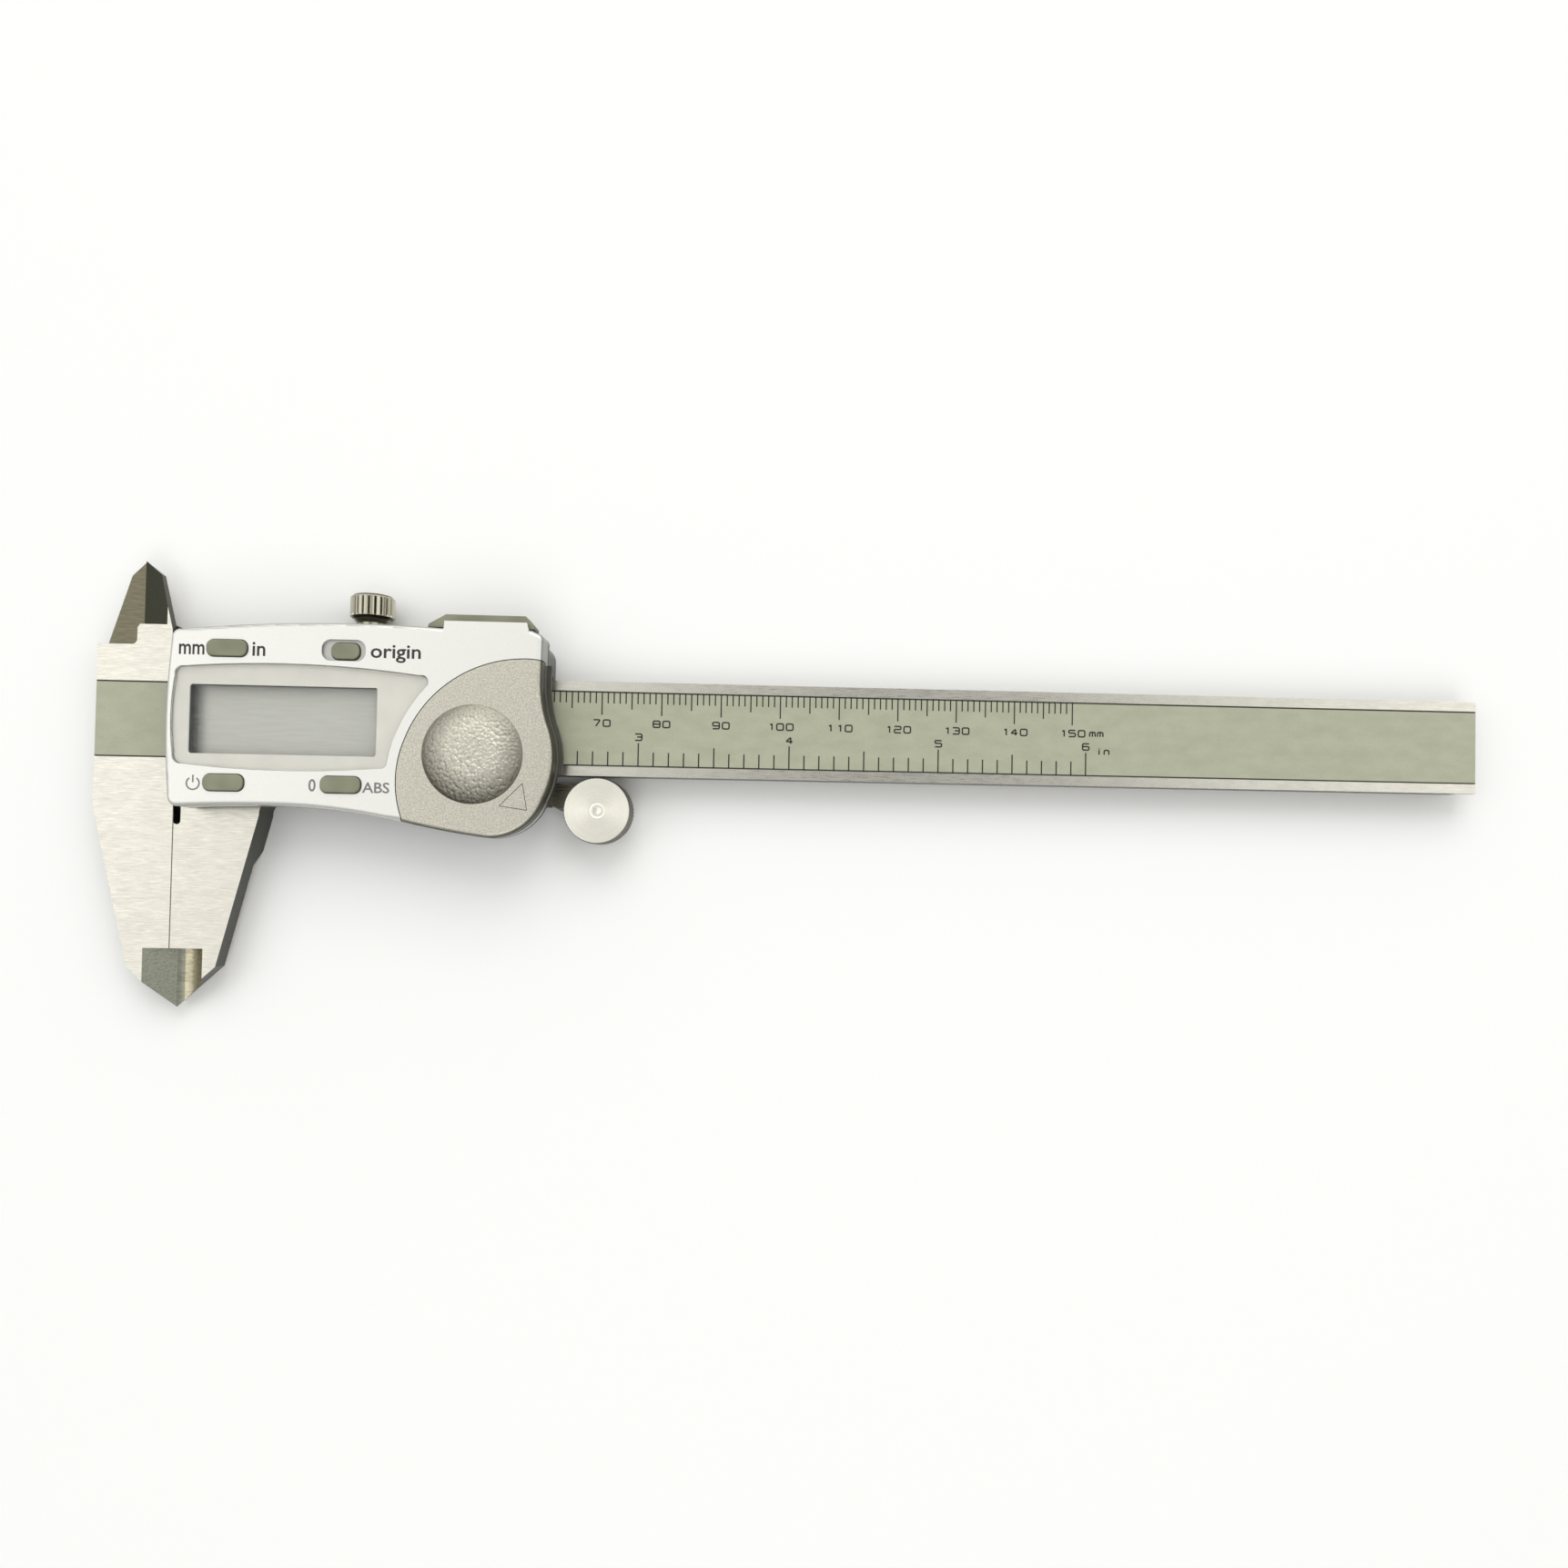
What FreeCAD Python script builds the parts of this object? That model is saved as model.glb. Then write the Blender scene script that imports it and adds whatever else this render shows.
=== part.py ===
import FreeCAD, Part
import os

from FreeCAD import Vector

# Digital caliper, 150 mm range, lying on its back with the jaws closed.
# Modelling frame: X runs along the beam from the measuring zero, Y runs across the beam
# from its centre line towards the inside jaws, Z rises from the back of the slider.
# Millimetres.

# Beam and its front layers
measuring_range = 150.0
beam_width = 16.0
beam_thickness = 3.5
beam_tail = 70.9            # beam left past the zero line when the slider is fully open
film_width = 12.6
film_thickness = 0.15
scale_strip_thickness = 0.6
film_setback = 0.05         # film lies this far below the steel
end_corner_cut = 3.0

# Fixed jaw head
head_width = 13.05
head_top = 4.4              # above the beam's upper edge
head_shoulder = 6.5         # below the beam's lower edge, where the slant starts

# Outside jaws
outside_jaw_depth = 39.8    # lower edge of the beam to the tips
outside_jaw_nose = 6.9      # height of the pointed end
outside_nose_width = 6.9
moving_jaw_width = 14.2
knife_recess_height = 9.9   # ground pocket, measured up from the tips
fixed_knife_width = 4.3
moving_knife_width = 5.4
knife_edge_thickness = 0.3
relief_slot_width = 1.2
relief_slot_depth = 9.4     # below the beam's lower edge
jaw_light_gap = 0.02
jaw_edge_break = 0.1        # broken front edges of the measuring faces

# Inside jaws
inside_jaw_height = 18.6    # upper edge of the beam to the tips
inside_knife_line = 6.3     # left of the zero line
inside_blade_shoulder = 2.4
fixed_blade_width = 5.3
moving_blade_width = 6.0
inside_root_height = 3.4    # solid root above the head before the bevels start
blade_gap = 0.12

# Slider frame
web_thickness = 2.2
slide_gap = 0.05
rail_rise = 1.6             # rails stand above the beam's front face
upper_rail_height = 6.4
lower_rail_height = 5.2
frame_start = 0.9
jaw_boss_length = 16.0      # thick root of the moving jaw, below the beam's edge
gib_thickness = 1.0

# Electronics case
case_left = 1.5
case_length = 61.9
case_rise = 7.0             # front of the case above the front of the beam
case_wall = 1.2
case_base_thickness = 1.0
base_ledge = 0.7            # the base stands out this far at the right end of the case
case_edge_round = 0.7
port_lip_rise = 1.1
port_lip_thickness = 1.1
seat_gap = 0.05

# Display
window_thickness = 0.85
window_gap = 0.06
window_inset_left = 1.0
window_inset_right = 20.2
window_half_height = 8.0
lcd_thickness = 1.1
lcd_inset_left = 3.6
lcd_inset_right = 28.6
lcd_view_low = -6.1
lcd_view_high = 5.1
lcd_rim = 1.2
lcd_frame_wall = 0.6

# Boards
board_gap = 0.4             # pickup board to beam front
pickup_thickness = 0.6
main_board_thickness = 0.6
main_board_gap = 0.15
zebra_height = 1.0
switch_height = 0.3

# Buttons
button_length = 6.4
button_width = 2.7
origin_button_length = 4.5
button_proud = 0.5
button_travel = 0.5
button_gap = 0.12
button_flange = 0.5
button_flange_thickness = 0.5
origin_dish_length = 7.0
origin_dish_width = 3.5
origin_dish_depth = 0.6
left_button_x = 11.1
right_button_x = 29.6
upper_button_row = 2.9      # above the beam's upper edge
lower_button_row = 2.8      # below the beam's lower edge

# Battery
cell_radius = 5.8
cell_thickness = 5.4
cell_clearance = 0.3
cell_wall = 0.9
cell_inset_right = 12.9
cell_drop = 2.0             # cell centre below the beam's centre line
contact_thickness = 0.15
cover_thickness = 1.05
cover_skirt_height = 3.0
cover_skirt_thickness = 1.0
cover_gap = 0.15
cover_travel = 12.0
thumb_pad_radius = 8.1
thumb_pad_rise = 1.1
thumb_pad_inset_right = 13.0
thumb_pad_drop = 5.4
deck_thickness = 1.9
guide_rib_width = 1.2
guide_rib_depth = 0.9
guide_rib_length = 8.0
guide_rib_offset = 8.5

# Data port
port_inset_left = 19.4      # from the right end of the case
port_inset_right = 4.6
port_cover_height = 2.1
port_cover_bottom = 7.7
port_cover_top = 11.5

# Depth rod
rod_width = 3.4
rod_thickness = 1.15
rod_groove_depth = 2.0
rod_clearance = 0.15
rod_head_start = 44.0
rod_head_length = 12.0
stop_plate_thickness = 0.6
stop_plate_length = 10.0
stop_plate_width = 11.0
stop_plate_setback = 3.0

# Thumb roller
roller_radius = 5.65
roller_thickness = 5.4
roller_proud = 1.5          # above the beam's front face
roller_beam_gap = 0.25
roller_inset_right = -6.3   # roller centre lies past the right end of the case
axle_radius = 1.5
axle_running_gap = 0.05
bracket_thickness = 1.2
bracket_lift = 0.3

# Lock screw
lock_x = 31.0
lock_stud_radius = 1.5
lock_running_gap = 0.05
lock_knob_radius = 3.55
lock_knob_length = 3.75
lock_knob_taper = 0.9
lock_knob_lift = 3.55       # taper starts this far above the upper rail
lock_shoe_radius = 1.4
lock_shoe_length = 1.0
lock_shoe_gap = 0.35
knob_flutes = 22
flute_depth = 0.35

# Fasteners
small_screw_radius = 0.8
small_head_radius = 1.5
small_head_height = 0.9
screw_clearance = 0.02
head_clearance = 0.2

# Levels and edges that follow from the sizes above
beam_half = beam_width / 2
beam_back = web_thickness + slide_gap
beam_front = beam_back + beam_thickness
beam_middle = (beam_back + beam_front) / 2
beam_end = measuring_range + beam_tail
strip_bottom = beam_front - film_setback - film_thickness - scale_strip_thickness
strip_top = strip_bottom + scale_strip_thickness
rail_top = beam_front + rail_rise
base_top = rail_top + case_base_thickness
case_front = beam_front + case_rise
case_right = case_left + case_length
case_ceiling = case_front - case_wall
pickup_bottom = beam_front + board_gap
pickup_top = pickup_bottom + pickup_thickness
board_bottom = rail_top + main_board_gap
board_top = board_bottom + main_board_thickness
lcd_bottom = board_top + zebra_height
lcd_top = lcd_bottom + lcd_thickness
cover_bottom = case_front - cover_thickness
deck_top = cover_bottom - cover_gap
upper_rail_inner = beam_half + gib_thickness + 3 * slide_gap
upper_rail_outer = beam_half + upper_rail_height
lower_rail_inner = -beam_half - slide_gap
lower_rail_outer = -beam_half - lower_rail_height
outside_tip = -beam_half - outside_jaw_depth
inside_tip = beam_half + inside_jaw_height
blade_split = beam_middle + blade_gap / 2
head_edge = beam_half + head_top
bevel_start = head_edge + inside_root_height
upper_row = beam_half + upper_button_row
lower_row = -beam_half - lower_button_row
lcd_left = case_left + lcd_inset_left
lcd_right = case_right - lcd_inset_right
cell_x = case_right - cell_inset_right
cell_y = -cell_drop
cell_bottom = beam_front + board_gap + 0.5 * contact_thickness
board_left = case_left + 2.4
board_right = cell_x - cell_radius - cell_clearance - cell_wall - 0.9
roller_x = case_right - roller_inset_right
roller_y = -beam_half - roller_beam_gap - roller_radius
roller_top = beam_front + roller_proud
roller_bottom = roller_top - roller_thickness


def box(x_low, x_high, y_low, y_high, z_low, z_high):
    corner = Vector(x_low, y_low, z_low)
    return Part.makeBox(x_high - x_low, y_high - y_low, z_high - z_low, corner)


def upright(x, y, radius, z_low, z_high):
    return Part.makeCylinder(radius, z_high - z_low, Vector(x, y, z_low))


def crosswise(x, radius, y_low, y_high):
    # A cylinder along Y at the middle of the beam's thickness.
    return Part.makeCylinder(radius, y_high - y_low, Vector(x, y_low, beam_middle), Vector(0, 1, 0))


def outline(start, *steps):
    # A closed face in the XY plane. A step is a corner (x, y), or a pair of points
    # (on the arc, end of the arc).
    edges = []
    here = Vector(*start)
    for step in steps + (start,):
        if isinstance(step[0], tuple):
            middle = Vector(*step[0])
            there = Vector(*step[1])
            edges.append(Part.Arc(here, middle, there).toShape())
        else:
            there = Vector(*step)
            if (there - here).Length < 1e-6:
                continue
            edges.append(Part.makeLine(here, there))
        here = there
    return Part.Face(Part.Wire(edges))


def raised(face, z_low, z_high):
    solid = face.extrude(Vector(0, 0, z_high - z_low))
    solid.translate(Vector(0, 0, z_low))
    return solid


def along_y(points, y_low, y_high):
    # A prism along Y with a polygon in XZ.
    corners = [Vector(x, y_low, z) for x, z in points]
    wire = Part.makePolygon(corners + corners[:1])
    return Part.Face(wire).extrude(Vector(0, y_high - y_low, 0))


def pill(x, y, length, width, z_low, z_high):
    bar = box(x - length / 2, x + length / 2, y - width / 2, y + width / 2, z_low, z_high)
    uprights = [edge for edge in bar.Edges if abs(edge.tangentAt(edge.FirstParameter).z) > 0.9]
    return bar.makeFillet(width * 0.42, uprights)


def screw(x, y, z_head, z_tip, shank_radius=small_screw_radius, head_radius=small_head_radius):
    # A pan head at z_head and a shank towards z_tip, either way up.
    way = 1 if z_tip > z_head else -1
    direction = Vector(0, 0, way)
    head = Part.makeCylinder(head_radius, small_head_height, Vector(x, y, z_head), direction)
    shank = Part.makeCylinder(shank_radius, abs(z_tip - z_head), Vector(x, y, z_head), direction)
    slot_half = head_radius / 6
    low, high = sorted((z_head, z_head + way * small_head_height / 2))
    slot = box(x - head_radius, x + head_radius, y - slot_half, y + slot_half, low, high)
    return head.fuse(shank).cut(slot)


def cut_all(solid, tools):
    for tool in tools:
        solid = solid.cut(tool)
    return solid


def fuse_all(solids):
    whole = solids[0]
    for solid in solids[1:]:
        whole = whole.fuse(solid)
    return whole.removeSplitter()


# The frame's origin is the middle of the footprint, on the plane that the back rests on.
origin_shift = Vector((head_width - beam_end) / 2, -(inside_tip + outside_tip) / 2, 0)


def save(name, *solids):
    shape = solids[0] if len(solids) == 1 else Part.makeCompound(list(solids))
    shape = shape.copy()
    shape.translate(origin_shift)
    assert shape.isValid(), name
    assert shape.Volume > 0, name
    shape.exportStep("parts/" + name + ".step")
    print(name, len(shape.Solids), round(shape.Volume, 2))


def case_outline():
    # Front view of the case: a crowned top, a waist at the right and a full lower right
    # corner under the thumb pad. Heights hang on the beam's two edges.
    top = beam_half
    low = -beam_half
    right = case_right
    lip_left = right - port_inset_left + 1.0
    lip_right = right - port_inset_right
    return outline(
        (case_left + 0.6, top + 4.4),
        ((case_left + 1.0, top + 5.6), (case_left + 2.2, top + 6.0)),
        ((case_left + 22.0, top + 7.4), (lip_left - 0.3, top + 7.15)),
        (lip_right + 0.6, top + 7.1),
        (right - 2.9, top + 6.6),
        ((right - 2.3, top + 6.2), (right - 2.1, top + 5.2)),
        (right - 2.2, top - 1.5),
        ((right - 1.9, 3.2), (right - 1.2, 0.2)),
        ((right, -6.0), (right - 1.5, low - 4.4)),
        ((right - 4.8, low - 9.1), (right - 10.7, low - 10.9)),
        ((right - 17.5, low - 9.9), (right - 24.3, low - 8.5)),
        ((right - 35.0, low - 6.8), (case_left + 15.5, low - 6.3)),
        ((case_left + 9.0, low - 6.4), (case_left + 2.4, low - 6.7)),
        ((case_left + 1.1, low - 6.3), (case_left + 0.6, low - 5.2)),
        ((case_left, -1.0), (case_left + 0.6, top + 4.4)),
    )


def cover_split():
    # The area right of the arc that parts the battery cover from the case front. It runs
    # past the case at the right and below.
    top = beam_half
    low = -beam_half
    right = case_right
    return outline(
        (right - 24.2, low - 12.0),
        (right - 24.2, low - 7.9),
        ((right - 25.2, low - 3.0), (right - 23.9, -3.0)),
        ((right - 17.0, 6.3), (right - 6.6, top + 2.3)),
        ((right - 4.4, top + 2.4), (right - 2.2, top + 2.2)),
        (right + 4.0, top + 2.2),
        (right + 4.0, low - 12.0),
    )


def window_outline(grow):
    # The display window: a long shallow barrel whose right end follows the cover's arc.
    left = case_left + window_inset_left - grow
    right = case_right - window_inset_right + grow
    high = window_half_height + grow
    low = -window_half_height - grow
    return outline(
        (left + 0.5, high - 1.6),
        ((left + 0.8, high - 0.5), (left + 1.9, high - 0.1)),
        ((left + 18.0, high + 0.6), (right - 1.6, high - 0.8)),
        ((right - 0.3, high - 1.3), (right - 0.5, high - 2.7)),
        ((right - 4.6, -1.0), (right - 6.4, low + 1.1)),
        ((right - 6.7, low + 0.3), (right - 7.5, low)),
        ((left + 18.0, low - 0.7), (left + 1.9, low + 0.2)),
        ((left + 0.7, low + 0.7), (left + 0.4, low + 1.8)),
        ((left, -1.0), (left + 0.5, high - 1.6)),
    )


def jaw_thickness_profile(thick_length):
    # Side view of an outside jaw: thick at the root on the back, then the beam's thickness.
    near = -beam_half
    points = [
        (near + 1.0, 0.0),
        (near - thick_length + 2.5, 0.0),
        (near - thick_length, beam_back),
        (outside_tip - 1.0, beam_back),
        (outside_tip - 1.0, beam_front),
        (near + 1.0, beam_front),
    ]
    corners = [Vector(-1.0, y, z) for y, z in points]
    wire = Part.makePolygon(corners + corners[:1])
    return Part.Face(wire).extrude(Vector(moving_jaw_width + 4.0, 0, 0))


def edge_break(side):
    # A small bevel along the front edge of an outside measuring face. side is -1 for the
    # fixed jaw and 1 for the moving jaw.
    return along_y(
        [
            (-0.01 * side, beam_front - jaw_edge_break),
            (side * jaw_edge_break, beam_front + 0.01),
            (-0.01 * side, beam_front + 0.01),
        ],
        outside_tip - 1.0,
        -beam_half,
    )


def make_beam_and_fixed_jaw():
    blade_right = -inside_knife_line + fixed_blade_width
    plan = outline(
        (0.0, -beam_half),
        (0.0, outside_tip),
        (-outside_nose_width, outside_tip + outside_jaw_nose),
        (-head_width, -beam_half - head_shoulder),
        (-head_width, head_edge),
        (-0.3, head_edge),
        (-0.3, beam_half),
        (beam_end, beam_half),
        (beam_end, -beam_half),
    )
    body = raised(plan, beam_back, beam_front)
    end_corner = outline(
        (beam_end - end_corner_cut, -beam_half),
        (beam_end, -beam_half + 0.45 * end_corner_cut),
        (beam_end, -beam_half),
    )
    body = body.cut(raised(end_corner, beam_back, beam_back + 0.7 * beam_thickness))

    root_left = -inside_knife_line - 0.4
    blade_plan = outline(
        (root_left - 0.9, head_edge),
        ((root_left - 0.25, head_edge + 0.25), (root_left, head_edge + 0.9)),
        (root_left, bevel_start - 0.6),
        (-inside_knife_line, bevel_start),
        (-inside_knife_line, inside_tip),
        (blade_right - 2.2, inside_tip - inside_blade_shoulder),
        (blade_right, bevel_start - 0.8),
        (blade_right, head_edge - 0.5),
        (root_left - 0.9, head_edge - 0.5),
    )
    blade = raised(blade_plan, blade_split, beam_front)
    bevel = along_y(
        [
            (-inside_knife_line - 1.0, beam_front + 1.0),
            (-inside_knife_line - 1.0, blade_split + knife_edge_thickness),
            (-inside_knife_line, blade_split + knife_edge_thickness),
            (blade_right - 0.9, beam_front),
            (blade_right - 0.9, beam_front + 1.0),
        ],
        bevel_start,
        inside_tip + 1.0,
    )
    blade = blade.cut(bevel)
    body = fuse_all([body, blade])

    knife = along_y(
        [
            (-fixed_knife_width, beam_front),
            (0.0, beam_back + knife_edge_thickness),
            (1.0, beam_back + knife_edge_thickness),
            (1.0, beam_front + 1.0),
            (-fixed_knife_width, beam_front + 1.0),
        ],
        outside_tip - 1.0,
        outside_tip + knife_recess_height,
    )
    film_recess = box(-head_width - 1.0, beam_end + 1.0, -film_width / 2 - slide_gap,
                      film_width / 2 + slide_gap, strip_bottom, beam_front + 1.0)
    rod_half = rod_width / 2 + rod_clearance
    rod_groove = box(rod_head_start - 1.0, beam_end + 1.0, -rod_half, rod_half,
                     beam_back - 1.0, beam_back + rod_groove_depth)
    plate_start = beam_end - stop_plate_setback - stop_plate_length
    plate_seat = box(plate_start - slide_gap, plate_start + stop_plate_length + slide_gap,
                     -stop_plate_width / 2 - slide_gap, stop_plate_width / 2 + slide_gap,
                     beam_back - 1.0, beam_back + stop_plate_thickness + slide_gap)
    screw_holes = [
        upright(x, y, small_screw_radius + screw_clearance, beam_back, beam_back + 2.2)
        for x, y in stop_screw_places()
    ]
    body = cut_all(body, [knife, edge_break(-1), film_recess, rod_groove, plate_seat] + screw_holes)
    save("beam_and_fixed_jaw", body)


def stop_screw_places():
    x = beam_end - stop_plate_setback - stop_plate_length / 2
    y = (stop_plate_width / 2 + rod_width / 2 + rod_clearance) / 2
    return [(x, y), (x, -y)]


def make_scale():
    half = film_width / 2
    save("scale_strip", box(-head_width, beam_end, -half, half, strip_bottom, strip_top))
    save("scale_film", box(-head_width, beam_end, -half, half, strip_top, strip_top + film_thickness))


def make_rod_stop():
    start = beam_end - stop_plate_setback - stop_plate_length
    plate = box(start, start + stop_plate_length, -stop_plate_width / 2, stop_plate_width / 2,
                beam_back, beam_back + stop_plate_thickness)
    head_room = small_head_radius - 0.2
    seats = [upright(x, y, head_room, beam_back, beam_back + 1.0) for x, y in stop_screw_places()]
    save("rod_stop_plate", cut_all(plate, seats))
    screws = [
        Part.makeCylinder(small_screw_radius, 1.5, Vector(x, y, beam_back + 0.4)).fuse(
            Part.makeCylinder(head_room - 0.1, 0.5, Vector(x, y, beam_back + 0.05)))
        for x, y in stop_screw_places()
    ]
    save("stop_plate_screws", *screws)


def case_screw_places():
    return [
        (case_left + 4.0, upper_rail_inner + 2.7),
        (case_right - 6.4, upper_rail_inner + 2.7),
        (case_left + 17.5, lower_rail_inner - 2.7),
        (case_right - 18.0, lower_rail_inner - 3.0),
    ]


def board_screw_places():
    return [
        (case_left + 21.0, upper_rail_inner + 1.9),
        (case_left + 21.3, lower_rail_inner - 1.9),
        (board_right - 1.8, upper_rail_inner + 1.9),
    ]


def rod_screw_places():
    quarter = rod_head_length / 4
    return [(rod_head_start + quarter, 0.0), (rod_head_start + 3 * quarter, 0.0)]


def set_screw_places():
    return [case_left + 11.0, case_right - 16.0]


def make_slider_frame():
    right = case_right - 2.4
    rail_gap = slide_gap
    web = box(frame_start, right, lower_rail_outer, upper_rail_outer, 0.0, web_thickness)
    upper_rail = box(frame_start, right, upper_rail_inner, upper_rail_outer, 0.0, rail_top)
    lower_rail = box(frame_start, right, lower_rail_outer, lower_rail_inner, 0.0, rail_top)

    jaw_right_top = moving_jaw_width - 0.3
    jaw_plan = outline(
        (jaw_light_gap, lower_rail_inner - 2.0),
        (jaw_light_gap, outside_tip),
        (outside_nose_width + 0.6, outside_tip + outside_jaw_nose),
        (jaw_right_top, lower_rail_outer - 2.4),
        ((jaw_right_top + 0.6, lower_rail_outer - 0.6), (jaw_right_top + 2.6, lower_rail_outer)),
        (jaw_right_top + 2.6, lower_rail_inner - 2.0),
    )
    jaw = raised(jaw_plan, 0.0, beam_front).common(jaw_thickness_profile(jaw_boss_length))

    blade_left = -inside_knife_line - moving_blade_width
    blade_plan = outline(
        (blade_left, head_edge + blade_gap),
        (frame_start + 4.0, head_edge + blade_gap),
        (frame_start + 4.0, upper_rail_outer),
        (frame_start + 0.6, upper_rail_outer + 0.3),
        (-1.3, bevel_start + 0.2),
        (-inside_knife_line, bevel_start + 1.4),
        (-inside_knife_line, inside_tip),
        (-inside_knife_line - 2.4, inside_tip - inside_blade_shoulder),
    )
    blade_top = beam_middle - blade_gap / 2
    blade = raised(blade_plan, beam_back, blade_top)
    bevel = along_y(
        [
            (-inside_knife_line + 1.0, blade_top - knife_edge_thickness),
            (-inside_knife_line, blade_top - knife_edge_thickness),
            (-inside_knife_line - 4.0, beam_back),
            (-inside_knife_line - 4.0, beam_back - 1.0),
            (-inside_knife_line + 1.0, beam_back - 1.0),
        ],
        bevel_start + 1.4,
        inside_tip + 1.0,
    )
    blade = blade.cut(bevel)
    frame = fuse_all([web, upper_rail, lower_rail, jaw, blade])

    knife_curve = Part.Arc(
        Vector(0.0, outside_tip - 1.0, beam_back + knife_edge_thickness),
        Vector(0.74 * moving_knife_width, outside_tip - 1.0, beam_back + 0.36 * beam_thickness),
        Vector(moving_knife_width, outside_tip - 1.0, beam_front),
    ).toShape()
    over = beam_front + 1.0
    knife_rim = [
        Vector(moving_knife_width, outside_tip - 1.0, beam_front),
        Vector(moving_knife_width, outside_tip - 1.0, over),
        Vector(-1.0, outside_tip - 1.0, over),
        Vector(-1.0, outside_tip - 1.0, beam_back + knife_edge_thickness),
        Vector(0.0, outside_tip - 1.0, beam_back + knife_edge_thickness),
    ]
    knife_edges = [knife_curve] + [Part.makeLine(a, b) for a, b in zip(knife_rim, knife_rim[1:])]
    knife = Part.Face(Part.Wire(knife_edges)).extrude(Vector(0, knife_recess_height + 1.0, 0))

    slot_radius = relief_slot_width / 2
    slot_bottom = -beam_half - relief_slot_depth
    relief = fuse_all([
        box(-1.0, relief_slot_width, slot_bottom + slot_radius, lower_rail_inner + 1.0, -1.0, rail_top + 1.0),
        upright(slot_radius, slot_bottom + slot_radius, slot_radius, -1.0, rail_top + 1.0),
    ])
    over_jaw = box(-1.0, frame_start, lower_rail_outer - 1.0, lower_rail_inner + 1.0, -1.0, rail_top + 1.0)
    tools = [knife, edge_break(1), relief, over_jaw]
    for x, y in case_screw_places():
        tools.append(upright(x, y, small_screw_radius + screw_clearance, -1.0, rail_top + 1.0))
        tools.append(upright(x, y, small_head_radius + head_clearance, -1.0, small_head_height + 0.3))
    for x, y in board_screw_places():
        tools.append(upright(x, y, small_screw_radius + screw_clearance, rail_top - 2.6, rail_top + 1.0))
    for x, y in rod_screw_places():
        tools.append(upright(x, y, small_screw_radius + screw_clearance, -1.0, web_thickness + 1.0))
        tools.append(upright(x, y, small_head_radius + head_clearance, -1.0, small_head_height + 0.3))
    for x in set_screw_places():
        tools.append(crosswise(x, small_screw_radius + 0.2 + screw_clearance, upper_rail_inner - 1.0,
                               upper_rail_outer + 1.0))
    tools.append(crosswise(lock_x, lock_stud_radius + lock_running_gap, upper_rail_inner - 1.0,
                           upper_rail_outer + 1.0))
    tools.append(back_plate_blank(rail_gap))
    tools.append(bracket_blank(rail_gap))
    for x, y in bracket_screw_places():
        tools.append(upright(x, y, small_screw_radius + screw_clearance, 0.0, 5.2))
    frame = cut_all(frame, tools)
    # The end of the frame is rounded in plan at its two outer corners.
    corners = [
        edge for edge in frame.Edges
        if abs(edge.BoundBox.XMin - right) < 1e-4 and abs(edge.BoundBox.XMax - right) < 1e-4
        and abs(edge.BoundBox.YMin - upper_rail_outer) < 1e-4 and edge.BoundBox.YLength < 1e-4
    ]
    frame = frame.makeFillet(2.4, corners)
    save("slider_frame", frame)


def back_plate_blank(grow):
    return box(case_left + 6.0 - grow, rod_head_start - 4.0 + grow, -beam_half + 0.5 - grow,
               beam_half - 0.5 + grow, -grow, 0.3 + grow)


def bracket_blank(grow):
    # The arm under the lower rail that carries the roller's axle.
    arm_top = lower_rail_inner - 0.6
    reach = roller_radius * 0.62
    plan = outline(
        (case_right - 15.0 - grow, arm_top + grow),
        (case_right - 4.0, arm_top + grow),
        (roller_x, roller_y + reach + grow),
        ((roller_x + reach + grow, roller_y), (roller_x, roller_y - reach - grow)),
        (case_right - 3.4, lower_rail_outer + 0.9 - grow),
        (case_right - 15.0 - grow, lower_rail_outer + 0.9 - grow),
    )
    return raised(plan, bracket_lift - grow, bracket_lift + bracket_thickness + grow)


def bracket_screw_places():
    middle = (lower_rail_inner + lower_rail_outer) / 2
    return [(case_right - 6.0, middle), (case_right - 10.0, middle)]


def make_gib():
    y_low = beam_half + slide_gap
    strip = box(frame_start + 1.2, case_right - 4.0, y_low, y_low + gib_thickness,
                beam_back + 0.2, beam_front - 0.2)
    save("gib_strip", strip)
    screws = []
    for x in set_screw_places():
        body = crosswise(x, small_screw_radius + 0.2, upper_rail_inner - slide_gap, upper_rail_outer - 0.4)
        slot = box(x - 2.0, x + 2.0, upper_rail_outer - 1.0, upper_rail_outer, beam_middle - 0.2,
                   beam_middle + 0.2)
        screws.append(body.cut(slot))
    save("gib_set_screws", *screws)


def make_depth_rod():
    half = rod_width / 2
    top = beam_back + rod_groove_depth - rod_clearance
    bar = box(rod_head_start, beam_end, -half, half, top - rod_thickness, top)
    head = box(rod_head_start, rod_head_start + rod_head_length, -half, half, beam_back, top)
    end_notch = outline((beam_end - 3.2, -half), (beam_end - 1.4, -half + 1.3), (beam_end, -half + 1.3),
                        (beam_end, -half))
    rod = fuse_all([bar, head]).cut(raised(end_notch, top - rod_thickness, top))
    holes = [
        upright(x, y, small_screw_radius + screw_clearance, beam_back - 1.0, top - 0.3)
        for x, y in rod_screw_places()
    ]
    save("depth_rod", cut_all(rod, holes))
    screws = [screw(x, y, 0.2, top - 0.4) for x, y in rod_screw_places()]
    save("depth_rod_screws", *screws)


def make_back_plate():
    plate = box(case_left + 6.0, rod_head_start - 4.0, -beam_half + 0.5, beam_half - 0.5, 0.02, 0.3)
    uprights = [edge for edge in plate.Edges if edge.BoundBox.ZLength > 0.2]
    save("back_plate", plate.makeFillet(0.8, uprights))


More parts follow.
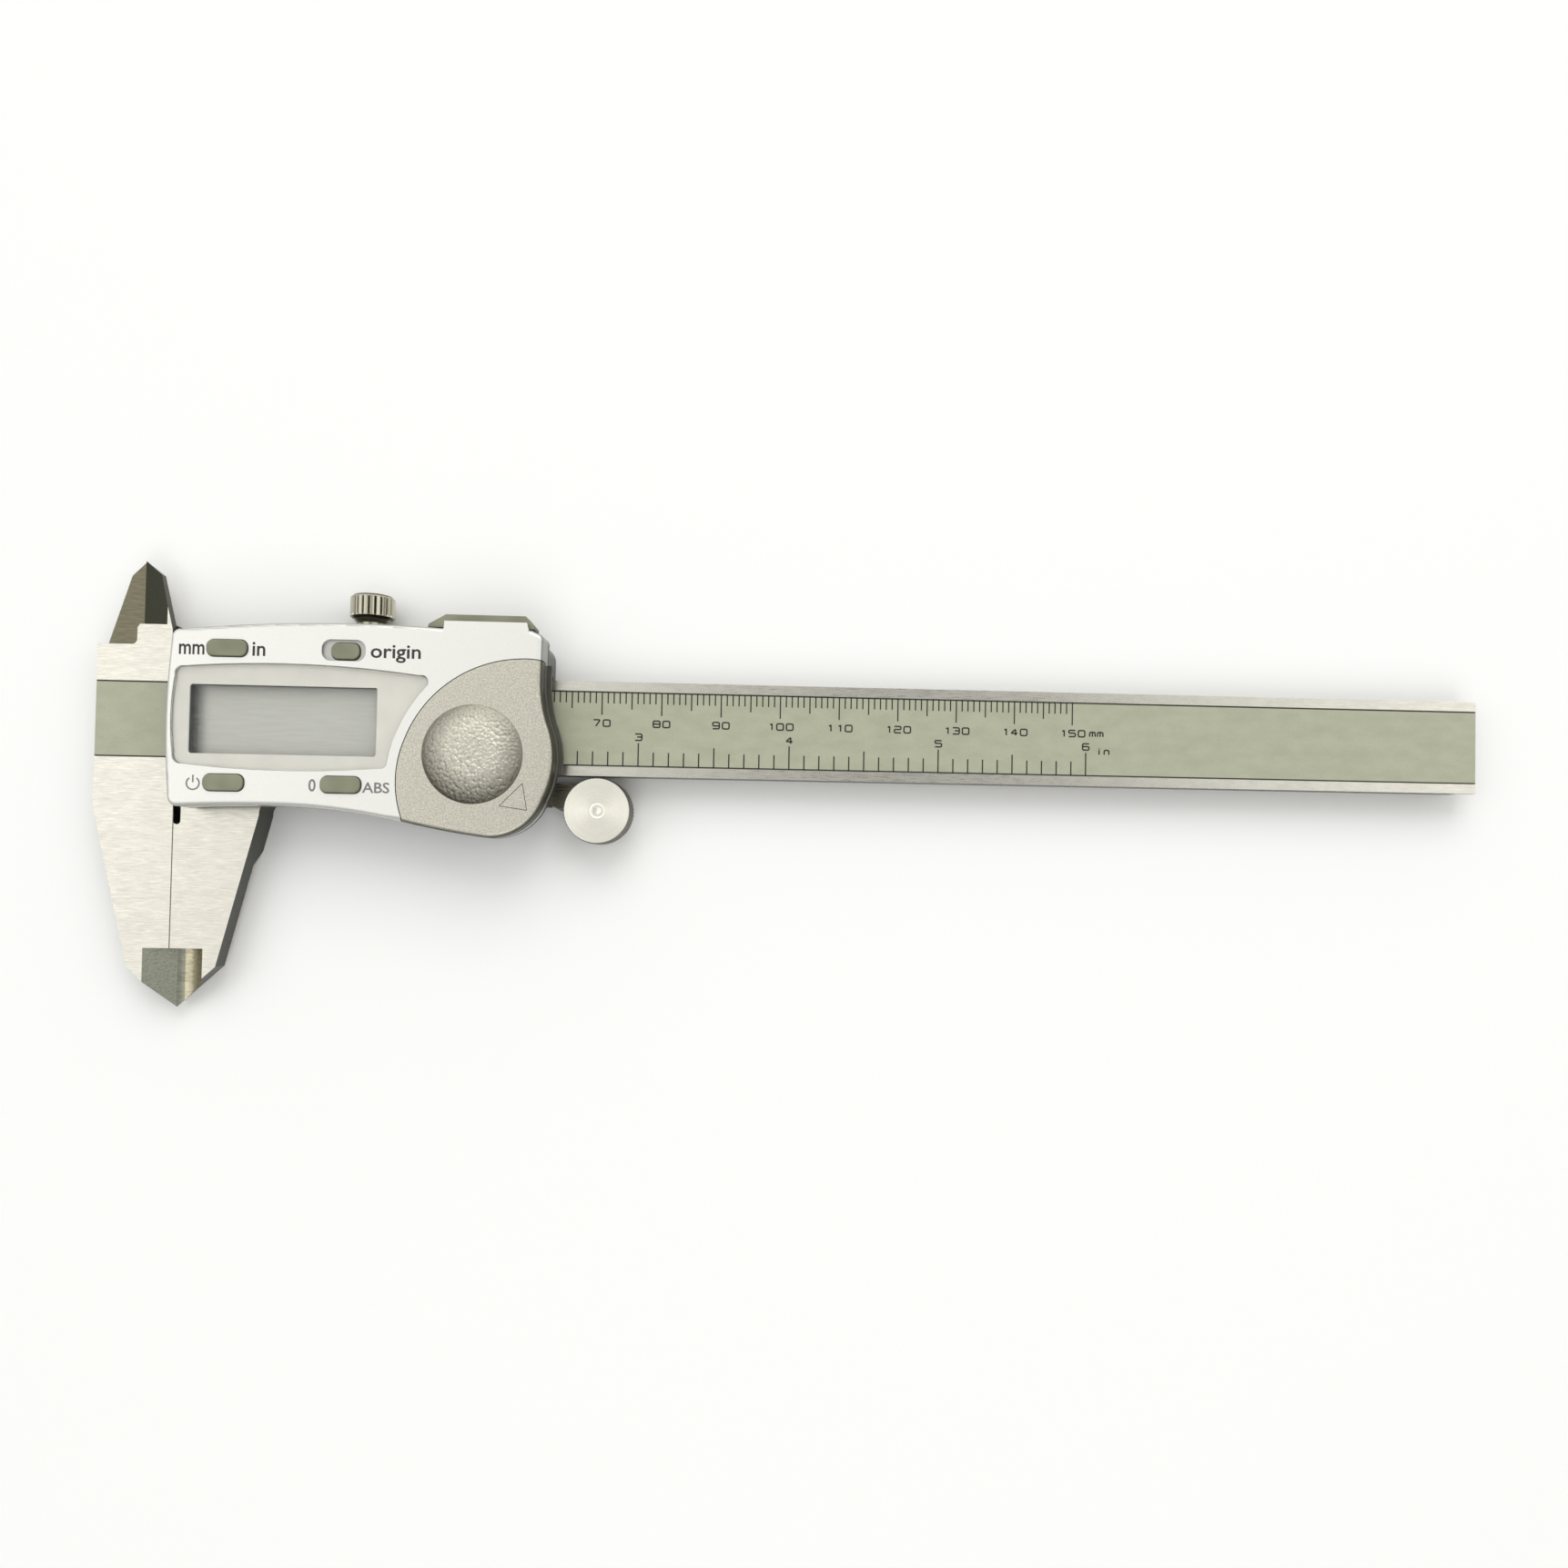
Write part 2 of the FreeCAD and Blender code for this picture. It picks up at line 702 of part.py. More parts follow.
def make_case_base():
    plan = case_outline()
    base = raised(plan, rail_top, base_top)
    board_bay = box(board_left - 0.8, board_right + 0.8, lower_rail_outer + 0.4, upper_rail_inner + 4.1,
                    rail_top - 1.0, base_top + 1.0)
    well_wall = cell_radius + cell_clearance + cell_wall
    well = upright(cell_x, cell_y, well_wall, rail_top, deck_top - deck_thickness - seat_gap)
    ledge_area = plan.makeOffset2D(base_ledge).common(
        outline((case_right - 4.0, lower_rail_inner), (case_right - 4.0, beam_half + 2.0),
                (case_right + 4.0, beam_half + 2.0), (case_right + 4.0, lower_rail_inner)))
    base = fuse_all([base, well, raised(ledge_area, rail_top, base_top)])
    bore = upright(cell_x, cell_y, cell_radius + cell_clearance, rail_top - 1.0, case_front)
    holes = [
        upright(x, y, small_screw_radius + screw_clearance, rail_top - 1.0, base_top + 1.0)
        for x, y in case_screw_places()
    ]
    for x, y in front_screw_places():
        holes.append(upright(x, y, small_screw_radius + screw_clearance, rail_top + 0.2, base_top + 1.0))
    base = cut_all(base, [board_bay, bore] + holes)
    save("case_base", base)
    save("case_screws", *[screw(x, y, 0.2, base_top - 0.1) for x, y in case_screw_places()])


def front_screw_places():
    return [
        (case_right - 5.6, beam_half - 0.6),
        (case_right - 5.6, -beam_half - 3.6),
        (board_right + 1.4, -beam_half - 4.6),
    ]


def button_places():
    return {
        "unit_button": (left_button_x, upper_row, button_length, button_proud),
        "origin_button": (right_button_x + 0.1, upper_row, origin_button_length, -0.05),
        "power_button": (left_button_x, lower_row, button_length, button_proud),
        "zero_button": (right_button_x, lower_row, button_length, button_proud),
    }


def diagonal_rib(offset, width, length, z_low, z_high, start=0.0):
    # A bar along the cover's way off, which is down and to the right at 45 degrees.
    bar = box(-length / 2 + start, length / 2 + start, offset - width / 2, offset + width / 2, z_low, z_high)
    bar.rotate(Vector(0, 0, 0), Vector(0, 0, 1), -45.0)
    bar.translate(Vector(cell_x, cell_y, 0))
    return bar


def make_front_case():
    plan = case_outline()
    shell = raised(plan, base_top, case_front)
    rim = [edge for edge in shell.Edges if edge.BoundBox.ZMin > case_front - 1e-4]
    shell = shell.makeFillet(case_edge_round, rim)
    lip_left = case_right - port_inset_left + 1.2
    lip_right = case_right - port_inset_right
    lip = raised(
        outline(
            (lip_left, beam_half + 5.0),
            (lip_left + 0.2, beam_half + 7.15 + port_lip_rise),
            (lip_right - 0.1, beam_half + 7.15 + port_lip_rise),
            (lip_right + 0.3, beam_half + 6.6),
            (lip_right + 0.3, beam_half + 5.0),
        ),
        case_front - port_lip_thickness,
        case_front,
    )
    shell = fuse_all([shell, lip])

    inner_plan = plan.makeOffset2D(-case_wall)
    deck_area = cover_split()
    cavity = raised(inner_plan, base_top - 1.0, case_ceiling)
    deck_zone = raised(deck_area.makeOffset2D(case_wall), deck_top - deck_thickness, case_front)
    cavity = cavity.cut(deck_zone)

    pocket_area = deck_area.common(outline((0, -60), (0, 60), (120, 60), (120, -60)))
    pocket = raised(pocket_area, deck_top, case_front + 1.0)
    skirt_ring = raised(deck_area, case_front - cover_skirt_height - cover_gap, case_front + 1.0).cut(
        raised(plan.makeOffset2D(-cover_skirt_thickness - cover_gap), 0.0, case_front + 2.0))

    tools = [cavity, pocket, skirt_ring]
    window_seat = raised(window_outline(window_gap), case_front - window_thickness - 0.02, case_front + 1.0)
    view = box(lcd_left - 0.4, lcd_right + 0.6, lcd_view_low - 0.6, lcd_view_high + 0.6,
               case_ceiling - 1.0, case_front)
    tools += [window_seat, view]
    for x, y, length, proud in button_places().values():
        tools.append(pill(x, y, length + 2 * button_gap, button_width + 2 * button_gap,
                          case_ceiling - 1.0, case_front + 1.0))
    dish = pill(right_button_x - 0.1, upper_row + 0.1, origin_dish_length, origin_dish_width,
                case_front - origin_dish_depth, case_front + 1.0)
    tools.append(dish)
    tools.append(upright(cell_x, cell_y, cell_radius + cell_clearance + 0.3,
                         deck_top - deck_thickness - 1.0, case_front))
    for side in (-1, 1):
        tools.append(diagonal_rib(side * guide_rib_offset, guide_rib_width + 0.4,
                                  guide_rib_length + 2 * cover_travel, deck_top - guide_rib_depth - 0.2,
                                  deck_top + 0.5, start=cover_travel - 0.4))
    port_left = case_right - port_inset_left + 3.4
    port_right = case_right - port_inset_right - 1.6
    tools.append(box(port_left, port_right, beam_half + 4.4, beam_half + 9.0, base_top + 0.2,
                     port_cover_top - 0.7))
    for x, y in front_screw_places():
        tools.append(upright(x, y, small_screw_radius + screw_clearance, base_top - 1.0, case_front))
        tools.append(upright(x, y, small_head_radius + head_clearance,
                             deck_top - small_head_height - 0.2, case_front))
    shell = cut_all(shell, tools)
    save("front_case", shell)
    head_level = deck_top - 0.1
    save("front_case_screws", *[screw(x, y, head_level, rail_top + 0.3) for x, y in front_screw_places()])


def make_display():
    top = case_front - 0.03
    window = raised(window_outline(0.0), top - window_thickness + 0.04, top)
    save("display_window", window)
    frame_low = board_top
    frame_high = case_ceiling - seat_gap
    glass_left = lcd_left - lcd_rim
    glass_right = lcd_right + lcd_rim
    glass_low = lcd_view_low - lcd_rim
    glass_high = lcd_view_high + lcd_rim
    save("lcd_panel", box(glass_left, glass_right, glass_low, glass_high, lcd_bottom, lcd_top))
    holder = box(glass_left - lcd_frame_wall, glass_right + lcd_frame_wall, glass_low - lcd_frame_wall,
                 glass_high + lcd_frame_wall, frame_low, frame_high)
    pocket = box(glass_left - slide_gap, glass_right + slide_gap, glass_low - slide_gap,
                 glass_high + slide_gap, frame_low - 1.0, lcd_top + slide_gap)
    view = box(lcd_left, lcd_right, lcd_view_low, lcd_view_high, frame_low, frame_high + 1.0)
    save("lcd_frame", cut_all(holder, [pocket, view]))
    strips = [
        box(glass_left + 1.0, glass_right - 1.0, y - 0.5, y + 0.5, board_top, lcd_bottom)
        for y in (glass_low + 0.8, glass_high - 0.8)
    ]
    save("zebra_strips", *strips)


def make_boards():
    pickup = box(board_left + 0.6, board_right - 0.4, -beam_half + 0.5, beam_half - 0.5,
                 pickup_bottom, pickup_top)
    save("pickup_board", pickup)
    board = box(board_left, board_right, lower_rail_outer + 0.7, upper_rail_inner + 3.8,
                board_bottom, board_top)
    holes = [
        upright(x, y, small_screw_radius + screw_clearance, board_bottom - 1.0, board_top + 1.0)
        for x, y in board_screw_places() + case_screw_places()
    ]
    save("main_board", cut_all(board, holes))
    save("board_connector", box(board_right - 5.0, board_right - 2.6, -3.0, 3.0, pickup_top, board_bottom))
    level = board_top + small_head_height
    save("board_screws", *[screw(x, y, level, rail_top - 2.4) for x, y in board_screw_places()])
    chip_x = (lcd_left + lcd_right) / 2
    blob = Part.makeSphere(5.0, Vector(chip_x, 0.0, board_top + 0.75 - 5.0))
    save("measuring_chip", blob.common(upright(chip_x, 0.0, 4.0, board_top, board_top + 1.0)))
    switches = [
        upright(x, y, 1.3, board_top, board_top + switch_height)
        for x, y, length, proud in button_places().values()
    ]
    save("dome_switches", *switches)


def make_battery():
    save("battery_cell", upright(cell_x, cell_y, cell_radius, cell_bottom, cell_bottom + cell_thickness)
         .cut(upright(cell_x, cell_y, cell_radius - 0.9, cell_bottom, cell_bottom + 0.2))
         .fuse(upright(cell_x, cell_y, cell_radius - 1.2, cell_bottom, cell_bottom + 0.3)))
    low = cell_bottom - contact_thickness
    riser = cell_x - cell_radius - cell_clearance - cell_wall - 0.45
    flat = box(riser, cell_x + 1.5, cell_y - 1.2, cell_y + 1.2, low, low + contact_thickness)
    contact_top = board_top + contact_thickness
    post = box(riser, riser + contact_thickness, cell_y - 1.2, cell_y + 1.2, low, contact_top)
    tab = box(board_right - 2.0, riser, cell_y - 1.2, cell_y + 1.2, board_top, contact_top)
    save("battery_bottom_contact", fuse_all([flat, post, tab]))
    side_x = cell_x + cell_radius + 0.02
    save("battery_side_contact", box(side_x, side_x + contact_thickness, cell_y - 1.0, cell_y + 1.0,
                                     rail_top + 0.3, cell_bottom + cell_thickness - 0.4))


def make_battery_cover():
    plan = case_outline()
    area = cover_split()
    shell = raised(plan, case_front - cover_skirt_height, case_front)
    rim = [edge for edge in shell.Edges if edge.BoundBox.ZMin > case_front - 1e-4]
    shell = shell.makeFillet(case_edge_round, rim)
    inner_area = area.makeOffset2D(-cover_gap)
    shell = shell.common(raised(inner_area, 0.0, case_front + 1.0))
    hollow = raised(plan.makeOffset2D(-cover_skirt_thickness), 0.0, cover_bottom)
    cover = shell.cut(hollow)
    pad_x = case_right - thumb_pad_inset_right
    pad_y = -thumb_pad_drop
    ball_radius = (thumb_pad_radius ** 2 + thumb_pad_rise ** 2) / (2 * thumb_pad_rise)
    ball = Part.makeSphere(ball_radius, Vector(pad_x, pad_y, case_front + thumb_pad_rise - ball_radius))
    pad = ball.common(upright(pad_x, pad_y, thumb_pad_radius, case_front - 0.3, case_front + 3.0))
    ribs = [
        diagonal_rib(side * guide_rib_offset, guide_rib_width, guide_rib_length,
                     deck_top - guide_rib_depth, cover_bottom + 0.2)
        for side in (-1, 1)
    ]
    cover = fuse_all([cover, pad] + ribs)
    save("battery_cover", cover)


def make_data_port():
    left = case_right - port_inset_left + 3.6
    right = case_right - port_inset_right - 1.8
    low = base_top + 0.4
    high = port_cover_top - 0.9
    block = box(left, right, beam_half + 4.6, beam_half + 6.2, low, high)
    save("data_port_block", block)
    count = 5
    pitch = (right - left - 2.0) / (count - 1)
    fingers = [
        box(left + 1.0 + i * pitch - 0.5, left + 1.0 + i * pitch + 0.5, beam_half + 6.2, beam_half + 6.35,
            low + 0.4, high - 0.4)
        for i in range(count)
    ]
    save("data_port_contacts", *fingers)
    cover_left = case_right - port_inset_left - 1.6
    cover_right = case_right - port_inset_right + 0.8
    foot = beam_half + 7.4 + seat_gap
    plan = outline(
        (cover_left, foot),
        (cover_left + 0.2, foot + 0.5),
        (cover_left + 2.9, foot + port_cover_height),
        (cover_right - 1.4, foot + port_cover_height),
        (cover_right, foot + 0.5),
        (cover_right, foot),
    )
    save("port_cover", raised(plan, port_cover_bottom, port_cover_top))


def make_wipers():
    low = beam_front + slide_gap
    wipers = {"left_wiper": case_left + 0.9, "right_wiper": case_right - 4.6}
    for name, x in wipers.items():
        save(name, box(x, x + 1.4, lower_rail_inner + 0.1, upper_rail_inner - 0.1, low, rail_top))


def make_buttons():
    for name, (x, y, length, proud) in button_places().items():
        top = case_front + proud
        cap = pill(x, y, length, button_width, board_top + switch_height + button_travel + 0.05, top)
        crown = [edge for edge in cap.Edges if edge.BoundBox.ZMin > top - 1e-4]
        cap = cap.makeFillet(0.25, crown)
        flange_top = case_ceiling - 0.02
        flange = pill(x, y, length + 2 * button_flange, button_width + 2 * button_flange,
                      flange_top - button_flange_thickness, flange_top)
        save(name, fuse_all([cap, flange]))


def make_roller():
    bracket = bracket_blank(0.0)
    bore = upright(roller_x, roller_y, axle_radius, 0.0, 3.0)
    for x, y in bracket_screw_places():
        bore = bore.fuse(upright(x, y, small_screw_radius + screw_clearance, 0.0, 3.0))
        bore = bore.fuse(upright(x, y, small_head_radius + head_clearance, 0.0, 0.3 + 0.7))
    save("roller_bracket", bracket.cut(bore))
    save("bracket_screws", *[
        Part.makeCylinder(small_head_radius, 0.6, Vector(x, y, bracket_lift)).fuse(
            Part.makeCylinder(small_screw_radius, 4.6, Vector(x, y, bracket_lift)))
        for x, y in bracket_screw_places()
    ])
    axle_top = beam_front - 1.2
    save("roller_axle", upright(roller_x, roller_y, axle_radius, bracket_lift, axle_top))
    roller = upright(roller_x, roller_y, roller_radius, roller_bottom, roller_top)
    rims = [edge for edge in roller.Edges if edge.BoundBox.ZLength < 1e-4]
    roller = roller.makeFillet(0.3, rims)
    bore = upright(roller_x, roller_y, axle_radius + axle_running_gap, roller_bottom - 1.0, axle_top + 0.1)
    dimple = Part.makeCone(0.0, 0.9, 0.3, Vector(roller_x, roller_y, roller_top - 0.3))
    save("thumb_roller", cut_all(roller, [bore, dimple]))


def make_lock():
    gib_top = beam_half + slide_gap + gib_thickness
    shoe_low = gib_top + lock_shoe_gap
    shoe_high = shoe_low + lock_shoe_length
    save("lock_shoe", crosswise(lock_x, lock_shoe_radius, shoe_low, shoe_high))
    taper_low = upper_rail_outer + lock_knob_lift - lock_knob_taper
    taper_high = upper_rail_outer + lock_knob_lift
    knob_top = taper_high + lock_knob_length
    stud = crosswise(lock_x, lock_stud_radius, shoe_high + 0.02, taper_low + 1.5)
    collar = crosswise(lock_x, lock_stud_radius + 0.7, taper_low - 0.9, taper_low)
    save("lock_stud", fuse_all([stud, collar]))
    taper = Part.makeCone(lock_knob_radius - 1.1, lock_knob_radius - 0.1, lock_knob_taper,
                          Vector(lock_x, taper_low, beam_middle), Vector(0, 1, 0))
    drum = crosswise(lock_x, lock_knob_radius, taper_high, knob_top)
    knob = fuse_all([drum, taper])
    crown = [edge for edge in knob.Edges if edge.BoundBox.YMin > knob_top - 1e-4]
    knob = knob.makeFillet(0.4, crown)
    flute = crosswise(lock_x, flute_depth, taper_high + 0.1, knob_top + 1.0)
    flute.translate(Vector(lock_knob_radius + 0.05, 0, 0))
    centre = Vector(lock_x, 0, beam_middle)
    for i in range(knob_flutes):
        groove = flute.copy()
        groove.rotate(centre, Vector(0, 1, 0), i * 360.0 / knob_flutes)
        knob = knob.cut(groove)
    knob = knob.cut(crosswise(lock_x, lock_stud_radius, taper_low - 1.0, taper_low + 1.5))
    save("lock_knob", knob)


os.makedirs("parts", exist_ok=True)
make_beam_and_fixed_jaw()
make_scale()
make_rod_stop()
make_slider_frame()
make_gib()
make_depth_rod()
make_back_plate()
make_case_base()
make_front_case()
make_display()
make_boards()
make_battery()
make_battery_cover()
make_data_port()
make_wipers()
make_buttons()
make_roller()
make_lock()
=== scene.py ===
import math

import bpy
import bmesh
import numpy as np
from mathutils import Euler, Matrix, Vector


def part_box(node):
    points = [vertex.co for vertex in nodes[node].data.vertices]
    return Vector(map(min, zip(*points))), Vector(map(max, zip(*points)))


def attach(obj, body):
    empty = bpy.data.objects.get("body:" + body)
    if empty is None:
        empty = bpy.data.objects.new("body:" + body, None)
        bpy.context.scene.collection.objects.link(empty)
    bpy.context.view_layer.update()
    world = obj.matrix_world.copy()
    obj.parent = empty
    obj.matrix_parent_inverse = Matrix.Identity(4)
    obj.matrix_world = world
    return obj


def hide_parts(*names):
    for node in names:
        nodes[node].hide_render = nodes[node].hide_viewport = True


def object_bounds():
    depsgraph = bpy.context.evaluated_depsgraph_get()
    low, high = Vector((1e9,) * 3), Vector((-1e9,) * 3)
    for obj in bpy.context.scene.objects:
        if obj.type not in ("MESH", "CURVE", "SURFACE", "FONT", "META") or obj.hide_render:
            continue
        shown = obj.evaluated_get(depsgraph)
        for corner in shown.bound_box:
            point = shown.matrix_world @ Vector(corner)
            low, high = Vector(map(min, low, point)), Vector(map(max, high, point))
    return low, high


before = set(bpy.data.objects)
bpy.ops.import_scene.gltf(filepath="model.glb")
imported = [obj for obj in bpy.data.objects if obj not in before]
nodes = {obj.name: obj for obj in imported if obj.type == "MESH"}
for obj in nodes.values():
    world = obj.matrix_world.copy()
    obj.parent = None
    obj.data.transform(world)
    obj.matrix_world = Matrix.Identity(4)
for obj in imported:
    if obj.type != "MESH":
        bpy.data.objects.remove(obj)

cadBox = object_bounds()
mm = 0.001
print("frame loaded:", len(nodes), "nodes")

# The measuring zero is where the jaws meet. Lengths below are millimetres from the zero
# line, the middle of the beam and the plane that the slider's back rests on.
datum = {
    "headWidth": 13.05,     # steel left of the zero line
    "printGap": 0.001,      # printing stands this far above its surface
}


def nodeBox(name):
    low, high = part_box(name)
    return np.array(low) / mm, np.array(high) / mm


filmLow, filmHigh = nodeBox("scale_film")
zeroX = filmLow[0] + datum["headWidth"]
beamY = (filmLow[1] + filmHigh[1]) / 2
filmHalf = (filmHigh[1] - filmLow[1]) / 2
beamHigh = nodeBox("beam_and_fixed_jaw")[1]
beamFront = beamHigh[2]
beamEnd = beamHigh[0] - zeroX
caseFront = nodeBox("front_case")[1][2]


def toWorld(points):
    # Millimetres from the measuring zero become metres in the frame.
    return (np.asarray(points, float) + np.array([zeroX, beamY, 0.0])) * mm


def makePiece(name, points, faces, body, material, smooth=True, sharpAngle=35.0):
    # Points are in millimetres from the zero. Doubles are merged, faces turned outwards, and
    # edges sharper than the given degrees stay crisp.
    mesh = bpy.data.meshes.new(name)
    mesh.from_pydata(toWorld(points).tolist(), [], [list(face) for face in faces])
    work = bmesh.new()
    work.from_mesh(mesh)
    bmesh.ops.remove_doubles(work, verts=work.verts, dist=1e-7)
    bmesh.ops.dissolve_degenerate(work, dist=1e-8, edges=work.edges)
    bmesh.ops.recalc_face_normals(work, faces=work.faces)
    for face in work.faces:
        face.smooth = smooth
    for edge in work.edges:
        if len(edge.link_faces) == 2 and edge.calc_face_angle() > math.radians(sharpAngle):
            edge.smooth = False
    work.to_mesh(mesh)
    work.free()
    piece = bpy.data.objects.new(name, mesh)
    bpy.context.scene.collection.objects.link(piece)
    mesh.materials.append(material)
    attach(piece, body)
    return piece


def gridFaces(rows, columns, wrapRows=False, wrapColumns=False):
    # Quads between neighbouring points of a rows by columns grid.
    rowIndex = np.arange(rows if wrapRows else rows - 1)
    columnIndex = np.arange(columns if wrapColumns else columns - 1)
    r, c = np.meshgrid(rowIndex, columnIndex, indexing="ij")
    nextR = (r + 1) % rows
    nextC = (c + 1) % columns
    corners = [(r, c), (r, nextC), (nextR, nextC), (nextR, c)]
    return np.stack([row * columns + column for row, column in corners], -1).reshape(-1, 4)


def strokeSolid(line, width, low, high, closed=False):
    # A flat bar that follows a line: every point of the line is pushed half a width to
    # each side along the mitred normal, at the two heights.
    line = np.asarray(line, float)
    if closed:
        ahead = np.roll(line, -1, axis=0) - line
    else:
        ahead = np.vstack([np.diff(line, axis=0), line[-1:] - line[-2:-1]])
    ahead /= np.linalg.norm(ahead, axis=1, keepdims=True)
    behind = np.roll(ahead, 1, axis=0)
    if not closed:
        behind[0] = ahead[0]
    tangent = ahead + behind
    tangent /= np.linalg.norm(tangent, axis=1, keepdims=True)
    stretch = 1.0 / np.clip((tangent * ahead).sum(axis=1), 0.5, 1.0)
    normal = np.stack([-tangent[:, 1], tangent[:, 0]], axis=1) * stretch[:, None] * width / 2
    left = line + normal
    right = line - normal
    count = len(line)
    section = np.zeros((count, 4, 3))
    section[:, 0, :2], section[:, 3, :2] = left, left
    section[:, 1, :2], section[:, 2, :2] = right, right
    section[:, :2, 2] = low
    section[:, 2:, 2] = high
    faces = gridFaces(count, 4, wrapRows=closed, wrapColumns=True).tolist()
    if not closed:
        last = (count - 1) * 4
        faces += [[3, 2, 1, 0], [last, last + 1, last + 2, last + 3]]
    return section.reshape(-1, 3), faces


def joined(parts):
    # Several point and face lists become one.
    points, faces, start = [], [], 0
    for partPoints, partFaces in parts:
        points.append(partPoints)
        faces += [[index + start for index in face] for face in partFaces]
        start += len(partPoints)
    return np.vstack(points), faces


def turned(profile, steps, radiusChange):
    # A surface of revolution about the Z axis: profile rows are (radius, height), and
    # radiusChange(angle, height, radius) is added to the radius.
    profile = np.asarray(profile, float)
    angle = np.linspace(0.0, 2.0 * np.pi, steps, endpoint=False)
    radius = np.repeat(profile[None, :, 0], steps, axis=0)
    height = np.repeat(profile[None, :, 1], steps, axis=0)
    theta = np.repeat(angle[:, None], len(profile), axis=1)
    radius = radius + radiusChange(theta, height, radius)
    points = np.stack([radius * np.cos(theta), radius * np.sin(theta), height], axis=-1)
    return points.reshape(-1, 3), gridFaces(steps, len(profile), wrapRows=True).tolist()


def profilePath(corners, spacing):
    # Points along straight runs between the corners, no further apart than the spacing.
    corners = np.asarray(corners, float)
    runs = []
    for start, end in zip(corners[:-1], corners[1:]):
        count = max(int(np.linalg.norm(end - start) / spacing), 1)
        runs.append(start + (end - start) * np.arange(count)[:, None] / count)
    return np.vstack(runs + [corners[-1:]])


def linear(hexColour):
    # sRGB hex to linear RGBA.
    values = np.array([int(hexColour[i:i + 2], 16) for i in (0, 2, 4)]) / 255.0
    bright = ((values + 0.055) / 1.055) ** 2.4
    return tuple(np.where(values <= 0.04045, values / 12.92, bright)) + (1.0,)


def addNode(tree, kind, settings=None):
    # One node. Each setting is a property, or an input by its name or number: a constant,
    # a hex colour, or another node's output that is linked to it.
    node = tree.nodes.new(kind)
    for key, value in (settings or {}).items():
        if isinstance(key, str) and key not in node.inputs:
            setattr(node, key, value)
        elif isinstance(value, bpy.types.NodeSocket):
            tree.links.new(value, node.inputs[key])
        else:
            node.inputs[key].default_value = linear(value) if isinstance(value, str) else value
    return node


def startMaterial(name, settings):
    # The shader with its constants, and the place on the object that patterns read.
    material = bpy.data.materials.new(name)
    material.use_nodes = True
    tree = material.node_tree
    tree.nodes.clear()
    shader = addNode(tree, "ShaderNodeBsdfPrincipled", settings)
    addNode(tree, "ShaderNodeOutputMaterial", {0: shader.outputs[0]})
    place = addNode(tree, "ShaderNodeTexCoord").outputs["Object"]
    return material, tree, shader, place


def grainField(tree, place, sizeMm, detail=2.0, roughness=0.5):
    # A random field whose features have a real size: one number, or one for each axis.
    # The place is scaled to one feature per unit and goes into noise.
    sizes = sizeMm if isinstance(sizeMm, tuple) else (sizeMm,) * 3
    scale = tuple(1.0 / (size * mm) for size in sizes)
    scaled = addNode(tree, "ShaderNodeMapping", {"Vector": place, "Scale": scale}).outputs[0]
    return addNode(tree, "ShaderNodeTexNoise", {
        "Vector": scaled, "Scale": 1.0, "Detail": detail, "Roughness": roughness}).outputs["Fac"]


def blendWhere(tree, field, low, high, under, over, most=1.0):
    # Colour that goes in a straight line from under to over while the field goes from low
    # to high, as far as the given share.
    share = addNode(tree, "ShaderNodeMapRange", {
        "Value": field, "From Min": low, "From Max": high, "To Max": most}).outputs[0]
    return addNode(tree, "ShaderNodeMix", {"data_type": "RGBA", 0: share, 6: under, 7: over}).outputs[2]


def surfaceParts(tree):
    # How level the surface is, from nothing on a wall to one on top, and its normal's parts.
    normal = addNode(tree, "ShaderNodeNewGeometry").outputs["True Normal"]
    parts = addNode(tree, "ShaderNodeSeparateXYZ", {0: normal}).outputs
    return addNode(tree, "ShaderNodeMath", {"operation": "ABSOLUTE", 0: parts[2]}).outputs[0], parts


def finishSurface(tree, shader, colour, relief=None, depthMm=0.0, strength=1.0, roughness=None):
    # The colour, a bump of the relief's depth, and a roughness that drifts with the relief.
    if colour is not None:
        tree.links.new(colour, shader.inputs["Base Color"])
    if depthMm > 0:
        bump = addNode(tree, "ShaderNodeBump", {
            "Strength": strength, "Distance": depthMm * mm, "Height": relief})
        tree.links.new(bump.outputs[0], shader.inputs["Normal"])
    if roughness is not None:
        drift = addNode(tree, "ShaderNodeMapRange", {
            "Value": relief, "From Min": 0.3, "From Max": 0.7,
            "To Min": roughness[0], "To Max": roughness[1]})
        tree.links.new(drift.outputs[0], shader.inputs["Roughness"])


steelLook = {
    "face": "E6E3D7", "faceShade": "CAC7BC", "side": "4E4E49",
    "groundLeft": "97998A", "groundRight": "CFC6A9", "groundUpper": "48493D", "groundFlat": "77735F",
    "groundMark": "45443A",
    "roughness": (0.22, 0.40),
    "lineMm": (2.2, 0.11, 0.11), "cloudMm": (2.6, 1.3, 1.3), "wheelMarkMm": (2.4, 0.26, 0.26),
    "recessMm": 0.6,    # an upward surface this far below the beam's face is a ground one
    "recessBlendMm": 0.2,
}


